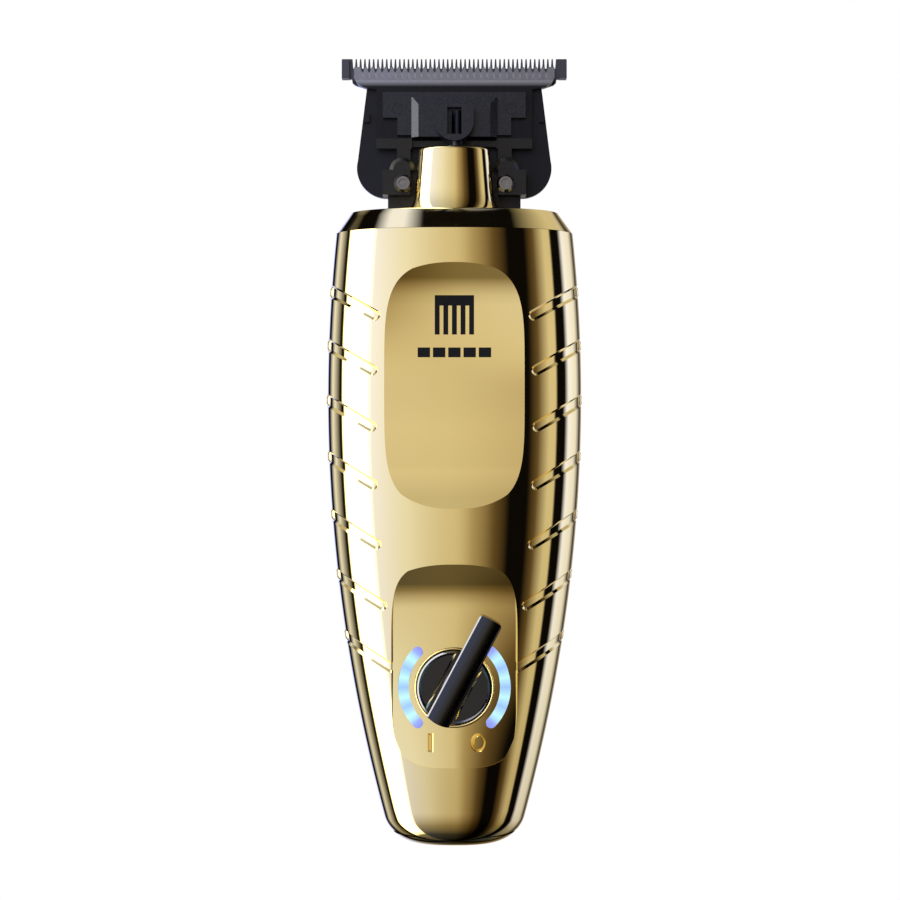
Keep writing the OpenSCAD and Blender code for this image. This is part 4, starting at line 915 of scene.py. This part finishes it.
def solder_mask():
    """Glass-epoxy board under green solder mask: dark green, the tracks showing through paler."""
    m, t, bsdf = start("green_solder_mask", ior=1.55, Coat_Weight=0.4, Coat_Roughness=0.15)
    coords = add(t, "ShaderNodeTexCoord")
    tracks = add(t, "ShaderNodeTexBrick", Scale=grain(4.0),
                 Color1=srgb("0f4a2a"), Color2=srgb("12532f"), Mortar=srgb("2a7a49"),
                 Mortar_Size=0.05, Brick_Width=0.9, Row_Height=0.35)
    turned = add(t, "ShaderNodeMapping", {"Vector": coords.outputs["Object"]},
                 Rotation=(math.pi / 2, 0, 0))
    t.links.new(turned.outputs["Vector"], tracks.inputs["Vector"])
    t.links.new(tracks.outputs["Color"], bsdf.inputs["Base Color"])
    rough = add(t, "ShaderNodeMapRange", {"Value": tracks.outputs["Fac"]}, To_Min=0.32, To_Max=0.24)
    t.links.new(rough.outputs["Result"], bsdf.inputs["Roughness"])
    return m


def chip_epoxy():
    """Filled epoxy, moulded round the chips: charcoal, with a fine sparkle of filler."""
    return finish("moulded_epoxy", 0.3, ("1d1e20", "26272a"), (0.45, 0.6), relief=(0.08, 0.002),
                  ior=1.56)


def cell_sleeve():
    """The cell's shrunk PVC sleeve: saturated blue, glossy, with slow ripples from the oven."""
    return finish("blue_pvc_sleeve", 8.0, ("16508f", "1b5a9d"), (0.22, 0.32), relief=(5.0, 0.05),
                  ior=1.53)


def silicone_lead():
    """Silicone-insulated wire: soft red, matt, with a dusting of talc."""
    return finish("red_silicone_lead", 0.7, ("9a1414", "b02420"), (0.5, 0.65), ior=1.43)


def copper_winding():
    """Enamelled copper wound on the armature: orange-brown, ridged by the wire."""
    m, t, bsdf = start("enamelled_copper", metallic=1.0, Coat_Weight=0.5, Coat_Roughness=0.12)
    vector = uneven(t, bsdf, 0.5, ("b4602f", "c87a44"), (0.22, 0.34))
    wires = add(t, "ShaderNodeTexWave", {"Vector": vector}, bands_direction="Z", Scale=grain(0.9),
                Distortion=0.4)
    bump = add(t, "ShaderNodeBump", {"Height": wires.outputs["Fac"]}, Distance=0.04 * MM)
    t.links.new(bump.outputs["Normal"], bsdf.inputs["Normal"])
    return m


def ferrite():
    """Sintered ferrite magnets: near-black ceramic, chalky, slightly metallic grey."""
    return finish("sintered_ferrite", 0.6, ("26262a", "323236"), (0.55, 0.75), relief=(0.2, 0.008),
                  ior=1.9)


def oiled_bronze():
    """Sintered bronze bush: porous, brown-gold, darkened by oil."""
    return finish("oiled_sintered_bronze", 0.3, ("8a6234", "6e4c28"), (0.35, 0.5),
                  relief=(0.1, 0.006), metallic=1.0)


def pad_ink():
    """Two-part pad ink, brown-black on the gold: matt, a little thinner at its edges."""
    m, t, bsdf = start("black_pad_ink", ior=1.5)
    uneven(t, bsdf, 0.25, ("0e0b06", "0a0804"), (0.55, 0.65))
    bsdf.inputs["Specular IOR Level"].default_value = 0.25
    return m


GOLD = polished_gold()
NYLON, ABS, RUBBER = filled_nylon(), gloss_abs(), nitrile()
STEEL, SCREW, LEAD = drawn_steel(), nickel_screw(), silicone_lead()
BLADE, CUTTER, PLATED = blackened_steel(), coated_cutter(), hard_gold()
YOKE, DIPPED, CAN = coated_yoke(), deep_black_steel(), zinc_can()

# What each carried-over CAD piece is made of.
MADE_OF = {
    "neck_seal": RUBBER, "base_plate": GOLD, "housing_screws": SCREW, "chassis": NYLON,
    "battery_cell": cell_sleeve(), "battery_tabs": STEEL, "battery_straps": NYLON,
    "circuit_board": solder_mask(), "board_parts": chip_epoxy(), "board_screws": SCREW,
    "status_leds": lamp_chip(), "switch_body": NYLON, "knob_stem": STEEL, "stem_clip": STEEL,
    "charge_socket": NYLON, "charge_leads": LEAD, "dock_contacts": PLATED, "motor_can": CAN,
    "motor_end_cap": NYLON, "motor_magnets": ferrite(), "motor_bush": oiled_bronze(),
    "motor_mount": STEEL, "motor_screws": SCREW, "motor_damper": RUBBER, "motor_leads": LEAD,
    "battery_leads": LEAD, "motor_shaft": STEEL, "motor_armature": copper_winding(),
    "eccentric_cam": BLADE, "head_bridge": NYLON, "bridge_screws": SCREW,
    "blade_bracket": DIPPED, "blade_screws": SCREW, "comb_blade": BLADE, "cutter_blade": CUTTER,
    "drive_yoke": YOKE, "yoke_rivets": YOKE, "tension_spring": DIPPED, "spring_hooks": DIPPED,
}
# How far the visible ones' edges are broken, in millimetres.
BROKEN = {"base_plate": 0.2, "comb_blade": 0.05, "cutter_blade": 0.05, "drive_yoke": 0.08,
          "blade_bracket": 0.12, "blade_screws": 0.06, "head_bridge": 0.15, "eccentric_cam": 0.08,
          "dock_contacts": 0.15, "charge_socket": 0.12, "motor_mount": 0.08, "chassis": 0.1,
          "housing_screws": 0.08}


def dress(ob, material, body):
    ob.data.materials.clear()
    ob.data.materials.append(material)
    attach(ob, body)
    return ob


HULL = (THUMB_SURFACE, PANEL_SURFACE, SKIN_SURFACE, GROOVE_SURFACE)
for name, made, nodes in (
        ("front_shell", shade(make_front_shell(), HULL), "front_housing"),
        ("back_shell", shade(make_back_shell(), HULL), "back_housing"),
        ("cap_shell", shade(make_head_cap(), sharp=20), "head_cap"),
        ("neck_shell", shade(make_neck(), sharp=40), "neck_shroud"),
        ("grip_left", shade(make_grip_pads("grip_left", -1), sharp=50), "grip_pads_left"),
        ("grip_right", shade(make_grip_pads("grip_right", 1), sharp=50), "grip_pads_right"),
        ("bezel_ring", shade(make_bezel(), sharp=50), "switch_bezel")):
    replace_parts(dress(made, GOLD, "housing"), nodes)
DIFFUSER = lit_diffuser()
for side, end in ((-1, "left"), (1, "right")):
    guide = shade(make_light_guide("light_arc_" + end, side), sharp=50)
    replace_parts(dress(guide, DIFFUSER, "housing"), "light_guide_" + end)
knob = shade(make_knob(), sharp=24)
knob.visible_glossy = False      # else the ramp above it mirrors the lever
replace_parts(dress(knob, ABS, "switch"), "switch_knob")
# The faces that lean towards the front, mostly the chamfers, get the brighter coat: painted highlight
# lines.
knob.data.materials.append(edge_highlight_coat())
for face in knob.data.polygons:
    if 0.35 < -face.normal.y < 0.85:
        face.material_index = 1
dress(shade(make_print()), pad_ink(), "housing")

for name, material in MADE_OF.items():
    ob = NODES[name]
    ob.data.materials.clear()
    ob.data.materials.append(material)
    if name in BROKEN:
        soften(ob, BROKEN[name])

# ---- studio --------------------------------------------------------------------------------

scene = bpy.context.scene
scene.view_settings.view_transform = "Standard"
GOLD_TINT = srgb("fbe193")
CARD_POWER = 4.2


def card(code):
    """The light a card must give for the gold to show that colour where it mirrors the card: full
    white is the bare lamp, brighter than the gold can tint."""
    if code == "ffffff":
        return (1.0, 1.0, 1.0, 1.0)
    return (*(c / g / CARD_POWER for c, g in zip(srgb(code)[:3], GOLD_TINT)), 1.0)


# The studio has a bare lamp and six sheets of card, from bright paper to black felt, each named by
# the colour the gold shows where it mirrors it.
TONES = {"lamp": "ffffff", "paper": "f4ead0", "cream": "e8d8a4", "straw": "d0b878",
         "tan": "a88c50", "umber": "604820", "felt": "0c0804"}
# What stands round the object by compass angle: nought is straight in front, right is positive.
CARDS = (
    (-180, "straw"), (-165, "paper"), (-155, "felt"), (-145, "felt"), (-130, "cream"),
    (-105, "felt"), (-100, "felt"), (-95, "lamp"), (-55, "lamp"), (-50, "paper"), (-20, "cream"),
    (0, "straw"), (5, "tan"), (15, "umber"), (25, "felt"), (40, "felt"), (50, "umber"),
    (65, "straw"), (75, "straw"), (78, "felt"), (95, "felt"), (105, "paper"), (130, "cream"),
    (150, "felt"), (165, "tan"), (180, "straw"))
# How much of that is left by height: it is dark underfoot and warmest just above the floor.
FADE = (
    (-90, (0.0, 0.0, 0.0)), (-65, (0.05, 0.05, 0.05)), (-45, (0.35, 0.3, 0.2)),
    (-30, (0.7, 0.65, 0.6)), (-15, (0.95, 0.95, 0.95)), (5, (1.1, 1.1, 1.15)),
    (40, (0.8, 0.8, 0.8)), (90, (0.5, 0.5, 0.5)))
# The sheets hung overhead, from left to right.
CEILING = (
    (-1.0, "tan"), (-0.6, "straw"), (-0.5, "felt"), (-0.4, "felt"), (-0.3, "paper"),
    (-0.2, "paper"), (-0.1, "felt"), (0.25, "felt"), (0.5, "straw"), (1.0, "tan"))


def studio():
    """A tent of light: what a mirror finish shows is the room, so the room is drawn as a ring of
    cards by compass angle, with a dark ceiling and a darker floor."""
    world = bpy.data.worlds.new("studio")
    scene.world = world
    world.use_nodes = True
    t = world.node_tree
    out = t.nodes["World Output"]
    light = t.nodes["Background"]
    coords = add(t, "ShaderNodeTexCoord")
    xyz = add(t, "ShaderNodeSeparateXYZ", {"Vector": coords.outputs["Generated"]})
    toward = add(t, "ShaderNodeMath", {0: xyz.outputs["Y"]}, operation="MULTIPLY", i1=-1.0)
    angle = add(t, "ShaderNodeMath", {0: xyz.outputs["X"], 1: toward.outputs[0]},
                operation="ARCTAN2")
    turn = add(t, "ShaderNodeMapRange", {"Value": angle.outputs[0]}, From_Min=-math.pi,
               From_Max=math.pi)
    ring = add(t, "ShaderNodeValToRGB", {"Fac": turn.outputs["Result"]})
    fill_ramp(ring, -180, 180, [(a, card(TONES[c])) for a, c in CARDS])
    height = add(t, "ShaderNodeMath", {0: xyz.outputs["Z"]}, operation="ARCSINE")
    rise = add(t, "ShaderNodeMapRange", {"Value": height.outputs[0]}, From_Min=-math.pi / 2,
               From_Max=math.pi / 2)
    fade = add(t, "ShaderNodeValToRGB", {"Fac": rise.outputs["Result"]})
    fill_ramp(fade, -90, 90, [(a, (*c, 1.0)) for a, c in FADE])
    parts = add(t, "ShaderNodeSeparateColor", {"Color": ring.outputs["Color"]})
    lamp = add(t, "ShaderNodeMapRange", {"Value": parts.outputs["Blue"]}, From_Min=0.5, From_Max=0.9)
    reach = add(t, "ShaderNodeMapRange", {"Value": height.outputs[0]}, From_Min=math.radians(-66),
                From_Max=math.radians(-56))
    tall = add(t, "ShaderNodeMath", {0: lamp.outputs["Result"], 1: reach.outputs["Result"]},
               operation="MULTIPLY")
    kept = add(t, "ShaderNodeMix", {"Factor": tall.outputs[0]}, data_type="RGBA")
    t.links.new(fade.outputs["Color"], kept.inputs["A"])
    kept.inputs["B"].default_value = (1.0, 1.0, 1.0, 1.0)     # the bare lamp stands down to there
    walls = add(t, "ShaderNodeVectorMath", {0: ring.outputs["Color"], 1: kept.outputs["Result"]},
                operation="MULTIPLY")
    across = add(t, "ShaderNodeMapRange", {"Value": xyz.outputs["X"]}, From_Min=-1.0)
    ceiling = add(t, "ShaderNodeValToRGB", {"Fac": across.outputs["Result"]})
    fill_ramp(ceiling, -1, 1, [(a, card(TONES[c])) for a, c in CEILING])
    above = add(t, "ShaderNodeMapRange", {"Value": height.outputs[0]}, From_Min=math.radians(27),
                From_Max=math.radians(36))
    behind = add(t, "ShaderNodeMapRange", {"Value": xyz.outputs["Y"]}, From_Min=0.0, From_Max=0.05)
    share = add(t, "ShaderNodeMath", {0: above.outputs["Result"], 1: behind.outputs["Result"]},
                operation="MULTIPLY")
    both = add(t, "ShaderNodeMix", {"Factor": share.outputs[0]}, data_type="RGBA")
    t.links.new(walls.outputs[0], both.inputs["A"])
    t.links.new(ceiling.outputs["Color"], both.inputs["B"])
    light.inputs["Strength"].default_value = CARD_POWER
    t.links.new(both.outputs["Result"], light.inputs["Color"])
    plain = add(t, "ShaderNodeBackground", Color=srgb("ffffff"), Strength=1.0)
    seen = add(t, "ShaderNodeLightPath")
    mix = add(t, "ShaderNodeMixShader", {0: seen.outputs["Is Camera Ray"],
                                         1: light.outputs[0], 2: plain.outputs[0]})
    t.links.new(mix.outputs[0], out.inputs["Surface"])


def pale_floor():
    """A plain white floor just under the foot, softly lit, that the gold does not mirror."""
    half, under = 400.0, -0.4
    floor = mesh_object("floor", [(-half, -half, under), (half, -half, under), (half, half, under),
                                  (-half, half, under)], [(0, 1, 2, 3)])
    m, t, bsdf = start("white_paper", ior=1.45)
    uneven(t, bsdf, 40.0, ("ffffff", "fdfdfd"), (0.8, 0.9))
    plain = add(t, "ShaderNodeEmission", Color=srgb("ffffff"), Strength=1.0)
    out = t.nodes["Material Output"]
    mix = add(t, "ShaderNodeMixShader", {0: add(t, "ShaderNodeLightPath").outputs["Is Camera Ray"],
                                         1: bsdf.outputs[0], 2: plain.outputs[0]})
    t.links.new(mix.outputs[0], out.inputs["Surface"])
    floor.data.materials.append(m)
    floor.visible_glossy = False


studio()
pale_floor()
cam = bpy.data.cameras.new("camera")
cam.lens, cam.sensor_width = 82.0, 36.0
camera = bpy.data.objects.new("camera", cam)
scene.collection.objects.link(camera)
camera.location = (-0.85 * MM, -410 * MM, 77.5 * MM)
camera.rotation_euler = (math.pi / 2, 0, 0)
scene.camera = camera
